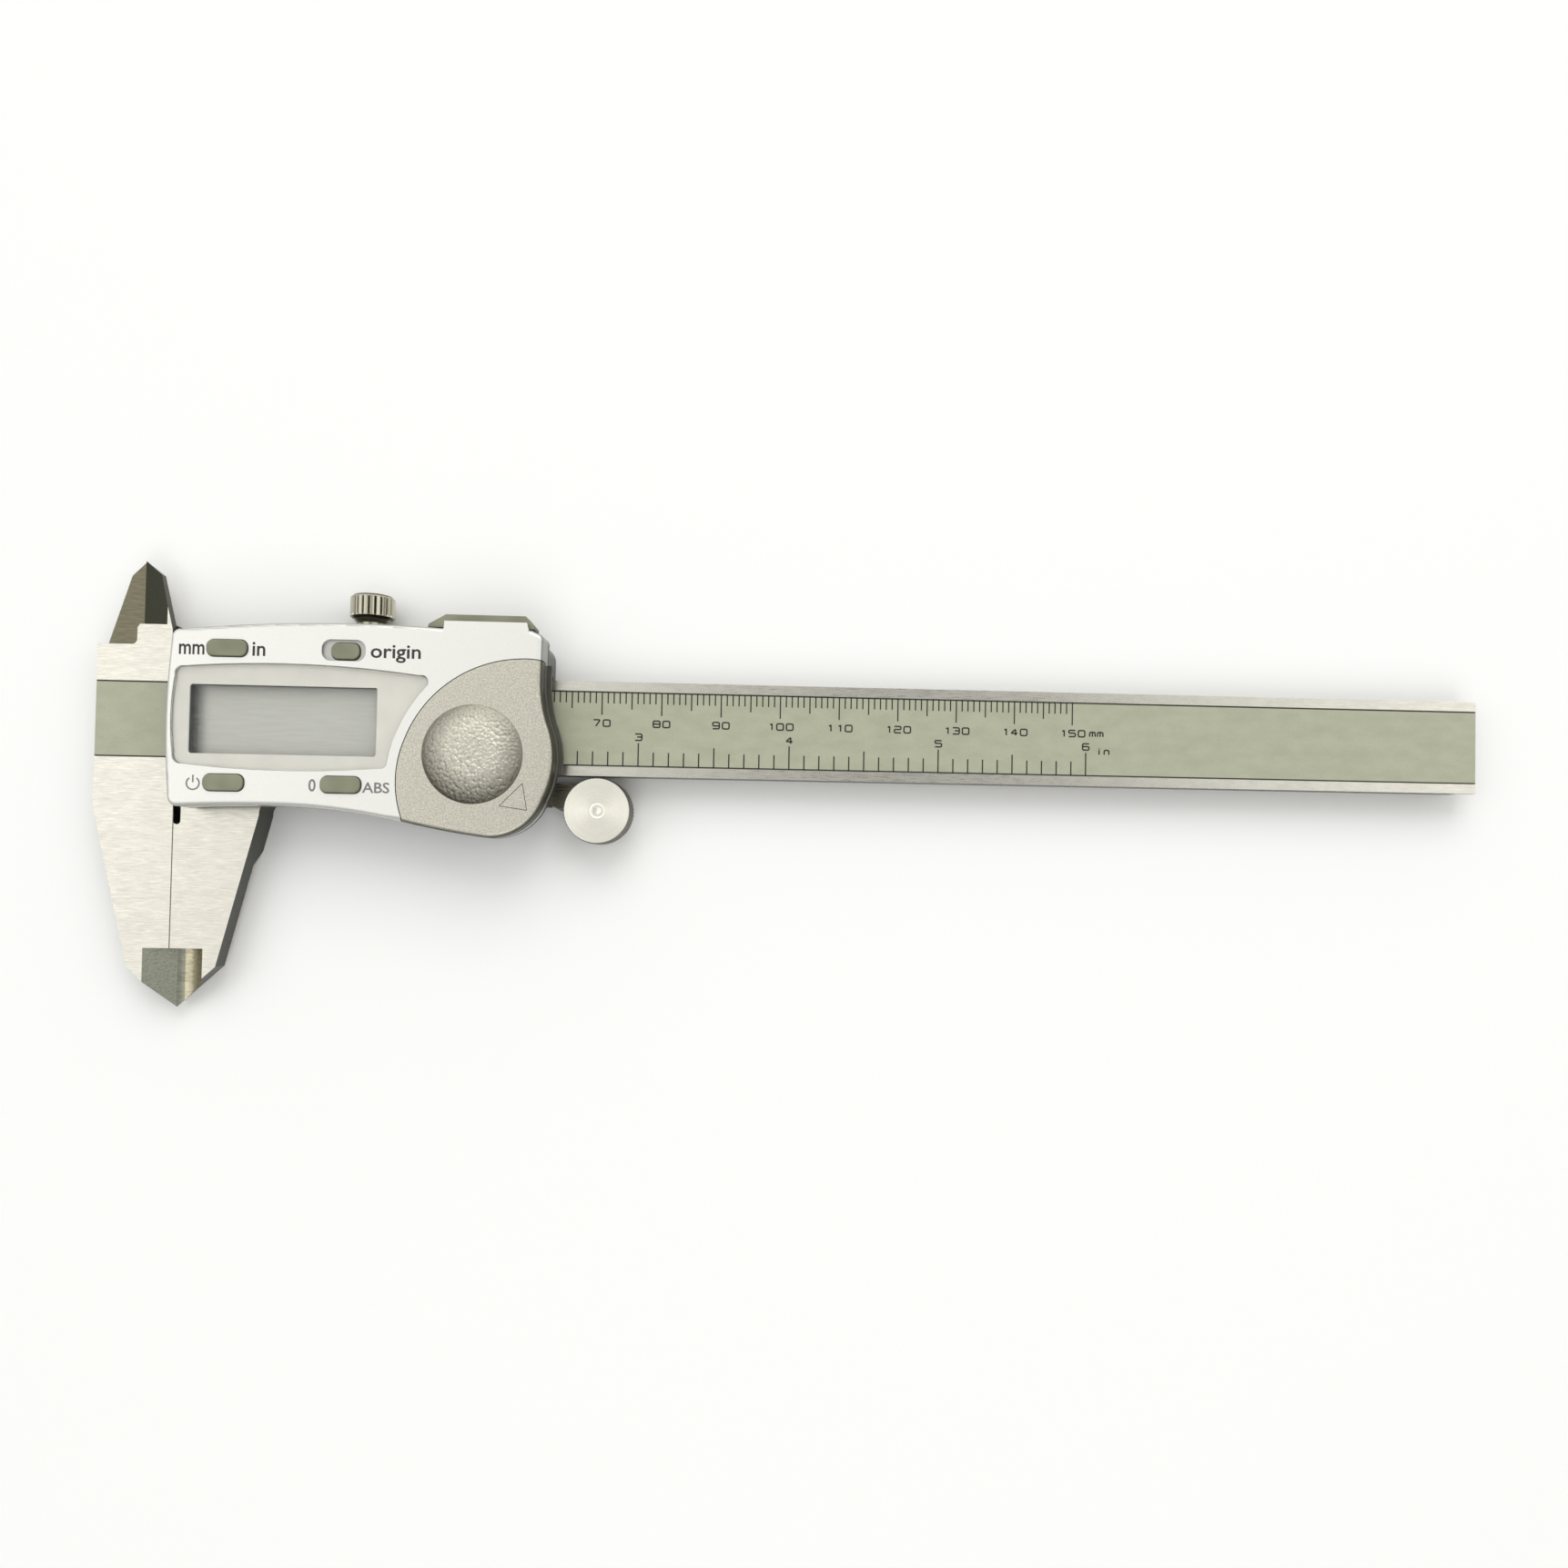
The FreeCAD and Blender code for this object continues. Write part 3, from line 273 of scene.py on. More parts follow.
def groundStainless():
    # Martensitic stainless steel. Faces are surface ground along the beam and lapped: a
    # warm white with short fine lines along X and soft cloudy patches. The lines are drawn
    # several times coarser than real ones, so that they show. Narrow sides are painted a dark grey shade.
    # Knife bevels are wheel ground, with coarser lines; their darker tones, set by which way
    # each facet faces, are partly that finish and partly painted shade.
    look = steelLook
    material, tree, shader, place = startMaterial("groundStainlessSteel", {"Metallic": 1.0})
    lines = grainField(tree, place, look["lineMm"], detail=5.0, roughness=0.7)
    cloud = grainField(tree, place, look["cloudMm"], detail=4.0, roughness=0.6)
    marks = grainField(tree, place, look["wheelMarkMm"], detail=3.0, roughness=0.6)
    level, normal = surfaceParts(tree)
    spot = addNode(tree, "ShaderNodeSeparateXYZ", {0: place}).outputs
    face = blendWhere(tree, lines, 0.38, 0.66, look["face"], look["faceShade"], 0.7)
    face = blendWhere(tree, cloud, 0.42, 0.68, face, look["faceShade"], 0.4)
    # Bevel tones follow the way each facet faces: partly painted shade.
    lower = blendWhere(tree, normal[0], -0.05, 0.05, look["groundRight"], look["groundLeft"])
    upper = blendWhere(tree, normal[0], -0.2, -0.1, look["groundUpper"], look["groundFlat"])
    ground = blendWhere(tree, spot[1], (beamY - 1) * mm, (beamY + 1) * mm, lower, upper)
    ground = blendWhere(tree, marks, 0.42, 0.66, ground, look["groundMark"], 0.36)
    recess = (beamFront - look["recessMm"]) * mm
    colour = blendWhere(tree, level, 0.985, 0.995, ground, face)
    colour = blendWhere(tree, spot[2], recess - look["recessBlendMm"] * mm, recess, ground, colour)
    colour = blendWhere(tree, normal[2], -0.95, -0.9, face, colour)     # the back is lapped as well
    # Painted shade: steep sides take a dark grey.
    colour = blendWhere(tree, level, 0.05, 0.2, look["side"], colour)
    finishSurface(tree, shader, colour, lines, 0.006, 0.6, look["roughness"])
    return material


def scaleLaminate():
    # Silk-screened polyester laminate over the measuring strip: olive grey, satin, with a
    # faint blotchy tint.
    material, tree, shader, place = startMaterial("scaleLaminate", {"Roughness": 0.42, "IOR": 1.5})
    blotch = grainField(tree, place, (4.0, 2.0, 2.0), detail=3.0)
    fleck = grainField(tree, place, 0.25, detail=1.0)
    colour = blendWhere(tree, blotch, 0.35, 0.7, "B0B29A", "A7A992")
    colour = blendWhere(tree, fleck, 0.45, 0.75, colour, "989A84", 0.3)
    finishSurface(tree, shader, colour, fleck, 0.003, 0.4)
    return material


def screenInk(name, hexColour, thin):
    # Solvent screen ink: matt, a little uneven in density.
    material, tree, shader, place = startMaterial(name, {"Roughness": 0.6, "IOR": 1.5})
    density = grainField(tree, place, 0.15, detail=2.0)
    finishSurface(tree, shader, blendWhere(tree, density, 0.5, 0.8, hexColour, thin, 0.4))
    return material


def satinPaint():
    # Silver-white metallic lacquer on moulded ABS: bright on its face, with a faint flake,
    # drawn coarser than real so that it shows, and orange peel. The walls, and the dishes
    # below the face, are painted a shaded grey, lighter on walls that face -Y.
    material, tree, shader, place = startMaterial("satinLacquerOnABS", {
        "Metallic": 0.55, "Roughness": 0.34, "Coat Weight": 0.2, "Coat Roughness": 0.2})
    flake = grainField(tree, place, 0.14, detail=1.0)
    peel = grainField(tree, place, 1.1, detail=2.0)
    level, normal = surfaceParts(tree)
    face = blendWhere(tree, flake, 0.4, 0.7, "F0F0EA", "E3E3DC")
    height = addNode(tree, "ShaderNodeSeparateXYZ", {0: place}).outputs[2]
    # Painted shade on the walls, lighter where they face -Y.
    wallShade = blendWhere(tree, normal[1], -0.5, -0.2, "CFCFC9", "93938D")
    colour = blendWhere(tree, level, 0.5, 0.96, wallShade, face)
    # Painted shade in the dishes below the face.
    colour = blendWhere(tree, height, (caseFront - 0.9) * mm, (caseFront - 0.1) * mm, wallShade, colour)
    finishSurface(tree, shader, colour, peel, 0.006, 0.3)
    return material


def blastedPaint(name, light, dark, wallShade, grainMm, depthMm, roughness=0.36):
    # Champagne silver paint over a blasted moulding: sandy grain, a little coarser than real,
    # that breaks up the highlight. The walls are painted a dull olive shade.
    material, tree, shader, place = startMaterial(name, {"Roughness": roughness, "Metallic": 0.75})
    grain = grainField(tree, place, grainMm, detail=2.0, roughness=0.6)
    coarse = grainField(tree, place, grainMm * 2.6, detail=2.0)
    level = surfaceParts(tree)[0]
    colour = blendWhere(tree, grain, 0.36, 0.64, dark, light)
    colour = blendWhere(tree, coarse, 0.5, 0.7, colour, dark, 0.3)
    # Painted shade: the walls take the dull olive.
    colour = blendWhere(tree, level, 0.55, 0.985, wallShade, colour)
    finishSurface(tree, shader, colour, grain, depthMm, 0.8)
    return material


def rubbedPaint(name, light, dark, rimShade, centre, fromMm, toMm):
    # The same paint on the thumb pad, with painted shade: it darkens with the distance from
    # a point above the pad's middle, most at the lower rim.
    material, tree, shader, place = startMaterial(name, {"Roughness": 0.42, "Metallic": 0.75})
    grain = grainField(tree, place, 0.3, detail=2.0, roughness=0.6)
    away = addNode(tree, "ShaderNodeVectorMath", {
        "operation": "DISTANCE", 0: place, 1: tuple(toWorld(centre))}).outputs["Value"]
    colour = blendWhere(tree, grain, 0.36, 0.64, dark, light)
    # Painted shade towards the rim, darkest at the bottom.
    colour = blendWhere(tree, away, fromMm * mm, toMm * mm, colour, rimShade, 0.92)
    finishSurface(tree, shader, colour, grain, 0.01, 0.8)
    return material


def mouldedPlastic(name, light, dark, roughness=0.45, wallShade=None):
    # Spark-eroded ABS moulding: even matt grain, drawn coarser than real so that it shows.
    # The window's ink, the zebra rubber, the strip's laminate and the chip's resin are made
    # up in the same way, with their own tones and gloss.
    material, tree, shader, place = startMaterial(name, {"Roughness": roughness, "IOR": 1.53})
    grain = grainField(tree, place, 0.18, detail=2.0)
    drift = grainField(tree, place, 4.0, detail=1.0)
    colour = blendWhere(tree, drift, 0.35, 0.65, light, dark)
    # Walls, when a tone is given for them, are painted darker: painted shade.
    if wallShade:
        colour = blendWhere(tree, surfaceParts(tree)[0], 0.1, 0.8, wallShade, colour)
    finishSurface(tree, shader, colour, grain, 0.01, 0.5)
    return material


def turnedMetal(name, light, dark, centre, axis, shadeAndHighlightBands, roughness=0.3, anisotropy=0.0):
    # Lathe-turned metal: fine rings about its own axis, uneven from ring to ring, whose
    # highlight fans out from the middle. Each band is a colour that takes over between
    # two distances from the axis: painted shade in the valleys of a knurl or of flutes,
    # and painted highlights on their crests.
    material, tree, shader, place = startMaterial(name, {"Metallic": 1.0, "Anisotropic": anisotropy})
    ringMm = 0.2
    along = tuple(1.0 if axis == i else 0.0 for i in range(3))
    across = tuple(1.0 - value for value in along)
    moved = addNode(tree, "ShaderNodeVectorMath", {
        "operation": "SUBTRACT", 0: place, 1: tuple(toWorld(centre))}).outputs[0]
    flat = addNode(tree, "ShaderNodeVectorMath", {"operation": "MULTIPLY", 0: moved, 1: across}).outputs[0]
    distance = addNode(tree, "ShaderNodeVectorMath", {"operation": "LENGTH", 0: flat}).outputs["Value"]
    rings = addNode(tree, "ShaderNodeTexNoise", {
        "noise_dimensions": "1D", "W": distance, "Scale": 1.0 / (ringMm * mm), "Detail": 3.0}).outputs["Fac"]
    stain = grainField(tree, place, 2.2, detail=3.0)
    colour = blendWhere(tree, rings, 0.35, 0.65, light, dark)
    colour = blendWhere(tree, stain, 0.45, 0.8, colour, dark, 0.4)
    # Painted shade in the valleys and painted highlights on the crests.
    for low, high, tone in shadeAndHighlightBands:
        colour = blendWhere(tree, distance, low * mm, high * mm, colour, tone, 0.92)
    if anisotropy > 0:
        around = addNode(tree, "ShaderNodeVectorMath", {"operation": "CROSS_PRODUCT", 0: flat, 1: along})
        tree.links.new(around.outputs[0], shader.inputs["Tangent"])
    finishSurface(tree, shader, colour, rings, 0.004, 0.5, (roughness - 0.06, roughness + 0.08))
    return material


def platedMetal(name, light, dark, roughness=0.3, grainMm=0.4):
    # Pressed or drawn metal with a plated skin: small scratches and a soft mottle.
    material, tree, shader, place = startMaterial(name, {"Metallic": 1.0})
    grain = grainField(tree, place, grainMm, detail=3.0)
    colour = blendWhere(tree, grain, 0.35, 0.65, light, dark)
    finishSurface(tree, shader, colour, grain, 0.004, 0.4, (roughness, roughness + 0.15))
    return material


def clearAcrylic():
    # Cast acrylic window with a hard coat: most light passes straight through.
    material, tree, shader, place = startMaterial("clearAcrylic", {
        "Base Color": "FBFCF9", "IOR": 1.49, "Transmission Weight": 1.0, "Alpha": 0.45})
    haze = grainField(tree, place, (3.0, 0.4, 1.0), detail=3.0)
    finishSurface(tree, shader, None, haze, roughness=(0.04, 0.12))
    return material


borderPrint = {
    "viewLow": (5.1, -6.1), "viewHigh": (34.8, 5.1),    # corners of the opening over the glass
    "thickness": 0.02, "gap": 0.003, "shrink": 0.997, "steps": 240,
    "leftShadeMm": (0.4, 2.1),   # where the painted shade at the cell's left end fades, from the opening's left
}


def lcdGlass():
    # Unpowered liquid crystal cell behind its polariser: neutral grey with faint fine rub
    # lines. A dark streaky margin at the left end, which fades to the right, is painted shade.
    material, tree, shader, place = startMaterial("lcdPolariser", {"Roughness": 0.25, "IOR": 1.5})
    lines = grainField(tree, place, (5.0, 0.22, 1.0), detail=3.0)
    streaks = grainField(tree, place, (1.2, 0.3, 1.0), detail=3.0)
    across = addNode(tree, "ShaderNodeSeparateXYZ", {0: place}).outputs[0]
    fadeFrom, fadeTo = [(zeroX + borderPrint["viewLow"][0] + into) * mm for into in borderPrint["leftShadeMm"]]
    colour = blendWhere(tree, lines, 0.35, 0.7, "CDCDC6", "C2C2BB")
    # Painted shade at the left end, streaky, fading to the right.
    leftShade = blendWhere(tree, streaks, 0.3, 0.65, "343531", "7C7D77")
    colour = blendWhere(tree, across, fadeFrom, fadeTo, leftShade, colour)
    finishSurface(tree, shader, colour)
    return material


def circuitBoard():
    # Glass fibre board under green solder mask, woven ground showing through.
    material, tree, shader, place = startMaterial("solderMaskedBoard", {"Roughness": 0.35, "IOR": 1.5})
    threadMm = 0.5
    weave = addNode(tree, "ShaderNodeTexChecker", {
        "Vector": place, "Scale": 1.0 / (threadMm * mm)}).outputs["Fac"]
    finishSurface(tree, shader, blendWhere(tree, weave, 0.0, 1.0, "1E6B35", "17562B", 0.4))
    return material


def foam():
    # Closed-cell foam rubber: dull black, pitted by its cells.
    material, tree, shader, place = startMaterial("foamRubber", {"Roughness": 0.9, "IOR": 1.4})
    cellMm = 0.25
    cells = addNode(tree, "ShaderNodeTexVoronoi", {
        "Vector": place, "Scale": 1.0 / (cellMm * mm)}).outputs["Distance"]
    finishSurface(tree, shader, blendWhere(tree, cells, 0.0, 0.6, "141414", "2A2A28"), cells, 0.05, 0.8)
    return material


thumbPad = {
    "insetRight": 13.0, "drop": 5.4,    # centre, from the cover's right side and the beam's middle
    "radius": 8.1, "rise": 1.1, "fullness": 2.5,
    "lift": 0.012, "skirt": 0.05,       # its edge above the case's front, and how deep it is let in
    "pebbleMm": 0.58, "pebbleHeight": (0.05, 0.24),     # at the top and at the bottom of the pad
    "pebbleBias": 1.6, "pebbleFade": 0.6,
    "rings": 110, "sectors": 620, "seed": 5,
    "shadeCentreUp": 0.9, "rimShadeFrom": 4.0, "rimShadeTo": 9.0,     # the painted shade's centre is higher than the pad's, so the lower rim is darkest
}

rollerLow, rollerHigh = nodeBox("thumb_roller")
knobLow, knobHigh = nodeBox("lock_knob")
rollerCentre = (rollerLow + rollerHigh) / 2 - np.array([zeroX, beamY, 0.0])
knobCentre = (knobLow + knobHigh) / 2 - np.array([zeroX, beamY, 0.0])
rollerRadius = (rollerHigh[0] - rollerLow[0]) / 2
knobRadius = (knobHigh[0] - knobLow[0]) / 2
padX = nodeBox("battery_cover")[1][0] - zeroX - thumbPad["insetRight"]
padY = -thumbPad["drop"]

steel = groundStainless()
laminate = scaleLaminate()
scaleInk = screenInk("blackScreenInk", "1B1B17", "3A3A33")
darkInk = screenInk("greyScreenInk", "2F2D2B", "4A4846")
paleInk = screenInk("paleGreyScreenInk", "7C787A", "8F8B8C")
casePaint = satinPaint()
coverPaint = blastedPaint("blastedChampagnePaint", "DAD7C9", "B9B5A7", "4C4C40", 0.24, 0.03)
# The pad's rim is painted a dark shade, darkest at its bottom.
padPaint = rubbedPaint("pebbledChampagnePaint", "D6D3C5", "B4B1A2", "4E4B3E",
                       (padX, padY + thumbPad["shadeCentreUp"], caseFront), thumbPad["rimShadeFrom"], thumbPad["rimShadeTo"])
# The buttons' and port cover's walls are painted a darker olive shade.
olivePlastic = mouldedPlastic("oliveABS", "8A8C73", "7B7D66", 0.45, "62644F")
greyPlastic = mouldedPlastic("greyABS", "4C4B41", "403F37", 0.45)
blackPlastic = mouldedPlastic("blackABS", "1C1C1B", "262625", 0.5)
borderPaint = mouldedPlastic("windowBorderInk", "EBE8DF", "E5E2D9", 0.5)
# The roller's dark band is painted shade in the knurl's valleys, its last band a painted highlight on the
# crests; the knob's bands do the same for its flutes.
rollerSteel = turnedMetal("turnedSteel", "FFFEF6", "F2EEDC", rollerCentre, 2,
                          [(rollerRadius - 0.32, rollerRadius - 0.2, "2A2820"),
                           (rollerRadius - 0.10, rollerRadius - 0.04, "D9D5C2")], 0.32, 0.55)
knobSteel = turnedMetal("turnedNickelSteel", "BEBAA7", "A9A592", knobCentre, 1,
                        [(knobRadius - 0.6, knobRadius - 0.45, "4E4A3A"),
                         (knobRadius - 0.26, knobRadius - 0.08, "C9C5B2")])
screwMetal = platedMetal("zincPlatedSteel", "B9B8B2", "96958F")
brassMetal = platedMetal("turnedBrass", "C6A15A", "A5823F")
bronzeMetal = platedMetal("phosphorBronze", "B98A55", "986C3F", 0.35, (3.0, 0.2, 0.2))
goldMetal = platedMetal("goldPlatedSpring", "E0B860", "C29A48")
nickelMetal = platedMetal("nickelPlatedCan", "D6D4CC", "BDBBB3", 0.22)
alloyMetal = platedMetal("anodisedAluminium", "CFCFCC", "BABAB6", 0.4, (4.0, 0.15, 0.15))
windowClear = clearAcrylic()
lcdGrey = lcdGlass()
boardGreen = circuitBoard()
foamBlack = foam()
zebraRubber = mouldedPlastic("conductiveRubber", "C9A8A0", "3A3634", 0.7)
fibreStrip = mouldedPlastic("glassFibreLaminate", "8E9A6A", "7E8A5C", 0.5)
epoxyBlack = mouldedPlastic("epoxyResin", "0E0E0E", "171716", 0.25)

nodeMaterials = {
    steel: ["beam_and_fixed_jaw", "slider_frame", "depth_rod", "rod_stop_plate", "roller_bracket"],
    laminate: ["scale_film"],
    fibreStrip: ["scale_strip"],
    casePaint: ["front_case"],
    greyPlastic: ["case_base"],
    coverPaint: ["battery_cover"],
    olivePlastic: ["unit_button", "origin_button", "power_button", "zero_button", "port_cover"],
    blackPlastic: ["lcd_frame", "board_connector", "data_port_block"],
    windowClear: ["display_window"],
    lcdGrey: ["lcd_panel"],
    boardGreen: ["main_board", "pickup_board"],
    foamBlack: ["left_wiper", "right_wiper"],
    zebraRubber: ["zebra_strips"],
    epoxyBlack: ["measuring_chip"],
    rollerSteel: ["thumb_roller"],
    knobSteel: ["lock_knob", "lock_stud"],
    screwMetal: ["stop_plate_screws", "gib_set_screws", "depth_rod_screws", "case_screws",
                 "front_case_screws", "board_screws", "bracket_screws", "roller_axle"],
    brassMetal: ["lock_shoe"],
    bronzeMetal: ["gib_strip"],
    goldMetal: ["dome_switches", "battery_bottom_contact", "battery_side_contact", "data_port_contacts"],
    nickelMetal: ["battery_cell"],
    alloyMetal: ["back_plate"],
}
for material, names in nodeMaterials.items():
    for name in names:
        meshData = nodes[name].data
        meshData.materials.clear()
        meshData.materials.append(material)
print("materials set on", sum(len(names) for names in nodeMaterials.values()), "nodes")


scalePrint = {
    "firstMm": 1, "lastMm": 150, "inchMm": 25.4,
    "mmTick": (1.95, 2.9, 3.9), "mmTickWidth": 0.21,        # plain, every fifth, every tenth
    "inchTick": (2.45, 3.4, 4.0), "inchTickWidth": 0.22,
    "borderWidth": 0.18, "borderInset": 0.02, "tickInset": 0.05, "endInset": 0.05,
    "digitHeight": 1.08, "digitWidth": 1.12, "digitGap": 0.52, "digitStroke": 0.24, "digitBend": 0.28,
    "mmNumberDrop": 5.3,    # centre of the numbers below the upper border
    "inchNumberRise": 1.0,  # centre of the numbers above the longest tick
    "unitLetters": {"digitWidth": 0.95, "digitHeight": 0.95, "digitGap": 0.4},
    "mmWordAfter": 4.2, "inchWordAfter": 5.4, "inchWordRise": 4.2,
    "inkHeight": 0.02,
}

digitStrokes = {
    "0": [([(0, 0), (1, 0), (1, 1), (0, 1)], True)],
    "1": [([(0.45, 0.8), (0.75, 1.0), (0.75, 0)], False)],
    "2": [([(0, 1), (1, 1), (1, 0.52), (0, 0.52), (0, 0), (1, 0)], False)],
    "3": [([(0, 1), (1, 1), (1, 0), (0, 0)], False), ([(0.3, 0.53), (0.95, 0.53)], False)],
    "4": [([(0.72, 0), (0.72, 1), (0, 0.32), (1, 0.32)], False)],
    "5": [([(1, 1), (0, 1), (0, 0.56), (1, 0.56), (1, 0), (0, 0)], False)],
    "6": [([(1, 1), (0, 1), (0, 0), (1, 0), (1, 0.56), (0.05, 0.56)], False)],
    "7": [([(0, 1), (1, 1), (0.35, 0)], False)],
    "8": [([(0, 0), (1, 0), (1, 1), (0, 1)], True), ([(0.05, 0.52), (0.95, 0.52)], False)],
    "9": [([(0, 0), (1, 0), (1, 1), (0, 1), (0, 0.45), (0.95, 0.45)], False)],
    "m": [([(0, 0), (0, 0.8), (1, 0.8), (1, 0)], False), ([(0.5, 0), (0.5, 0.75)], False)],
    "i": [([(0.5, 0), (0.5, 0.8)], False), ([(0.5, 0.95), (0.5, 1.12)], False)],
    "n": [([(0, 0), (0, 0.8), (0.85, 0.8), (0.85, 0)], False)],
}


def softCorners(corners, radius, closed):
    # Each corner is replaced by a quarter-like bend: a quadratic curve from the point one
    # radius before it to the point one radius after it.
    corners = np.asarray(corners, float)
    count = len(corners)
    out = []
    for index, corner in enumerate(corners):
        if not closed and index in (0, count - 1):
            out.append(corner[None])
            continue
        before = corners[index - 1] - corner
        after = corners[(index + 1) % count] - corner
        reach = min(radius, 0.45 * np.linalg.norm(before), 0.45 * np.linalg.norm(after))
        start = corner + before / np.linalg.norm(before) * reach
        end = corner + after / np.linalg.norm(after) * reach
        t = np.linspace(0.0, 1.0, 5)[:, None]
        out.append((1 - t) ** 2 * start + 2 * t * (1 - t) * corner + t ** 2 * end)
    return np.vstack(out)


def wordSolids(word, centre, look, surface):
    # The strokes of each letter, set side by side about the centre.
    width, height, gap = look["digitWidth"], look["digitHeight"], look["digitGap"]
    total = len(word) * width + (len(word) - 1) * gap
    solids = []
    for index, letter in enumerate(word):
        left = centre[0] - total / 2 + index * (width + gap)
        for corners, closed in digitStrokes[letter]:
            line = softCorners(np.asarray(corners, float) * (width, height), look["digitBend"], closed)
            line = line + (left, centre[1] - height / 2)
            top = surface + look["inkHeight"]
            solids.append(strokeSolid(line, look["digitStroke"], surface, top, closed))
    return solids


def tickLength(lengths, count):
    return lengths[2 if count % 10 == 0 else 1 if count % 5 == 0 else 0]


def makeScalePrinting():
    # Border lines along the film's edges, millimetre ticks hung from the upper one and
    # tenths of an inch stood on the lower one, each tenth tick with its number.
    look = scalePrint
    surface = filmHigh[2] + datum["printGap"]
    top = surface + look["inkHeight"]
    parts = []
    left, right = -datum["headWidth"] + look["endInset"], beamEnd - look["endInset"]
    for side in (-1, 1):
        edge = side * (filmHalf - look["borderWidth"] / 2 - look["borderInset"])
        parts.append(strokeSolid([(left, edge), (right, edge)], look["borderWidth"], surface, top))
    upper = filmHalf - look["borderInset"]
    for position in range(look["firstMm"], look["lastMm"] + 1):
        size = tickLength(look["mmTick"], position)
        line = [(position, upper - look["tickInset"]), (position, upper - size)]
        parts.append(strokeSolid(line, look["mmTickWidth"], surface, top))
        if position % 10 == 0:
            parts += wordSolids(str(position), (position, upper - look["mmNumberDrop"]), look, surface)
    inch = look["inchMm"]
    for tenth in range(1, int(look["lastMm"] / inch * 10) + 2):
        size = tickLength(look["inchTick"], tenth)
        x = tenth * inch / 10
        line = [(x, -upper + look["tickInset"]), (x, -upper + size)]
        parts.append(strokeSolid(line, look["inchTickWidth"], surface, top))
        if tenth % 10 == 0:
            place = (x, -upper + size + look["inchNumberRise"])
            parts += wordSolids(str(tenth // 10), place, look, surface)
    small = {**look, **look["unitLetters"]}
    last = look["lastMm"]
    parts += wordSolids("mm", (last + look["mmWordAfter"], upper - look["mmNumberDrop"]), small, surface)
    parts += wordSolids("in", (last + look["inchWordAfter"], -upper + look["inchWordRise"]), small, surface)
    points, faces = joined(parts)
    makePiece("scale_printing", points, faces, "beam", scaleInk, smooth=False)


makeScalePrinting()
print("scale printed")


labelPrint = {
    "words": [
        # text, left, right, lowest, highest, ink
        ("mm", 3.5, 7.5, 9.75, 11.45, "dark"),
        ("in", 15.05, 17.1, 9.75, 12.0, "dark"),
        ("origin", 33.8, 41.8, 9.15, 12.05, "dark"),
        ("0", 24.5, 25.65, -12.0, -9.95, "pale"),
        ("ABS", 33.0, 37.35, -12.05, -10.3, "pale"),
    ],
    "boldness": 0.014,
    "symbolCentre": (6.3, -11.0), "symbolRadius": 1.0, "symbolStroke": 0.24,
    "symbolArc": (125.0, 415.0), "symbolSteps": 40, "symbolBar": (0.15, 1.35),
    "inkHeight": 0.02,
}


def makeWord(text, left, right, low, high):
    # A word in plain sans letters, stretched to fill its box on the case front.
    curve = bpy.data.curves.new("word", "FONT")
    curve.body = text
    curve.size = 1.0
    curve.offset = labelPrint["boldness"]
    curve.extrude = 0.5
    curve.resolution_u = 3
    holder = bpy.data.objects.new("word", curve)
    bpy.context.scene.collection.objects.link(holder)
    depsgraph = bpy.context.evaluated_depsgraph_get()
    mesh = bpy.data.meshes.new_from_object(holder.evaluated_get(depsgraph))
    points = np.zeros(len(mesh.vertices) * 3)
    mesh.vertices.foreach_get("co", points)
    points = points.reshape(-1, 3)
    faces = [list(polygon.vertices) for polygon in mesh.polygons]
    bpy.data.objects.remove(holder)
    bpy.data.curves.remove(curve)
    start = np.array([left, low, caseFront + datum["printGap"]])
    size = np.array([right - left, high - low, labelPrint["inkHeight"]])
    return start + (points - points.min(axis=0)) / np.ptp(points, axis=0) * size, faces


def makeLabels():
    # The words, and the power symbol: an open ring with a bar through its gap.
    look = labelPrint
    groups = {"dark": [], "pale": []}
    for text, left, right, low, high, ink in look["words"]:
        groups[ink].append(makeWord(text, left, right, low, high))
    centre = np.array(look["symbolCentre"])
    low = caseFront + datum["printGap"]
    high = low + look["inkHeight"]
    angle = np.radians(np.linspace(*look["symbolArc"], look["symbolSteps"]))
    arc = centre + look["symbolRadius"] * np.stack([np.cos(angle), np.sin(angle)], axis=1)
    bar = [centre + (0, height) for height in look["symbolBar"]]
    for line in (arc, bar):
        groups["pale"].append(strokeSolid(line, look["symbolStroke"], low, high))
    for ink, material in (("dark", darkInk), ("pale", paleInk)):
        points, faces = joined(groups[ink])
        makePiece("case_labels_" + ink, points, faces, "slider", material, smooth=False)


makeLabels()
print("case labels printed")


def loopByAngle(points, centre, steps):
    # The closed loop through the points, sampled at even steps of angle about the centre.
    away = points - centre
    angle = np.arctan2(away[:, 1], away[:, 0])
    order = np.argsort(angle)
    angle, points = angle[order], points[order]
    angle = np.concatenate([angle[-1:] - 2 * np.pi, angle, angle[:1] + 2 * np.pi])
    points = np.vstack([points[-1:], points, points[:1]])
    wanted = np.linspace(-np.pi, np.pi, steps, endpoint=False)
    return np.stack([np.interp(wanted, angle, points[:, axis]) for axis in (0, 1)], axis=1)


def nodeOutline(name):
    # Plan points of a node's top rim, in millimetres from the zero.
    mesh = nodes[name].data
    points = np.zeros(len(mesh.vertices) * 3)
    mesh.vertices.foreach_get("co", points)
    points = points.reshape(-1, 3) / mm - np.array([zeroX, beamY, 0.0])
    rim = points[points[:, 2] > points[:, 2].max() - 0.01, :2]
    return np.unique(np.round(rim, 4), axis=0)


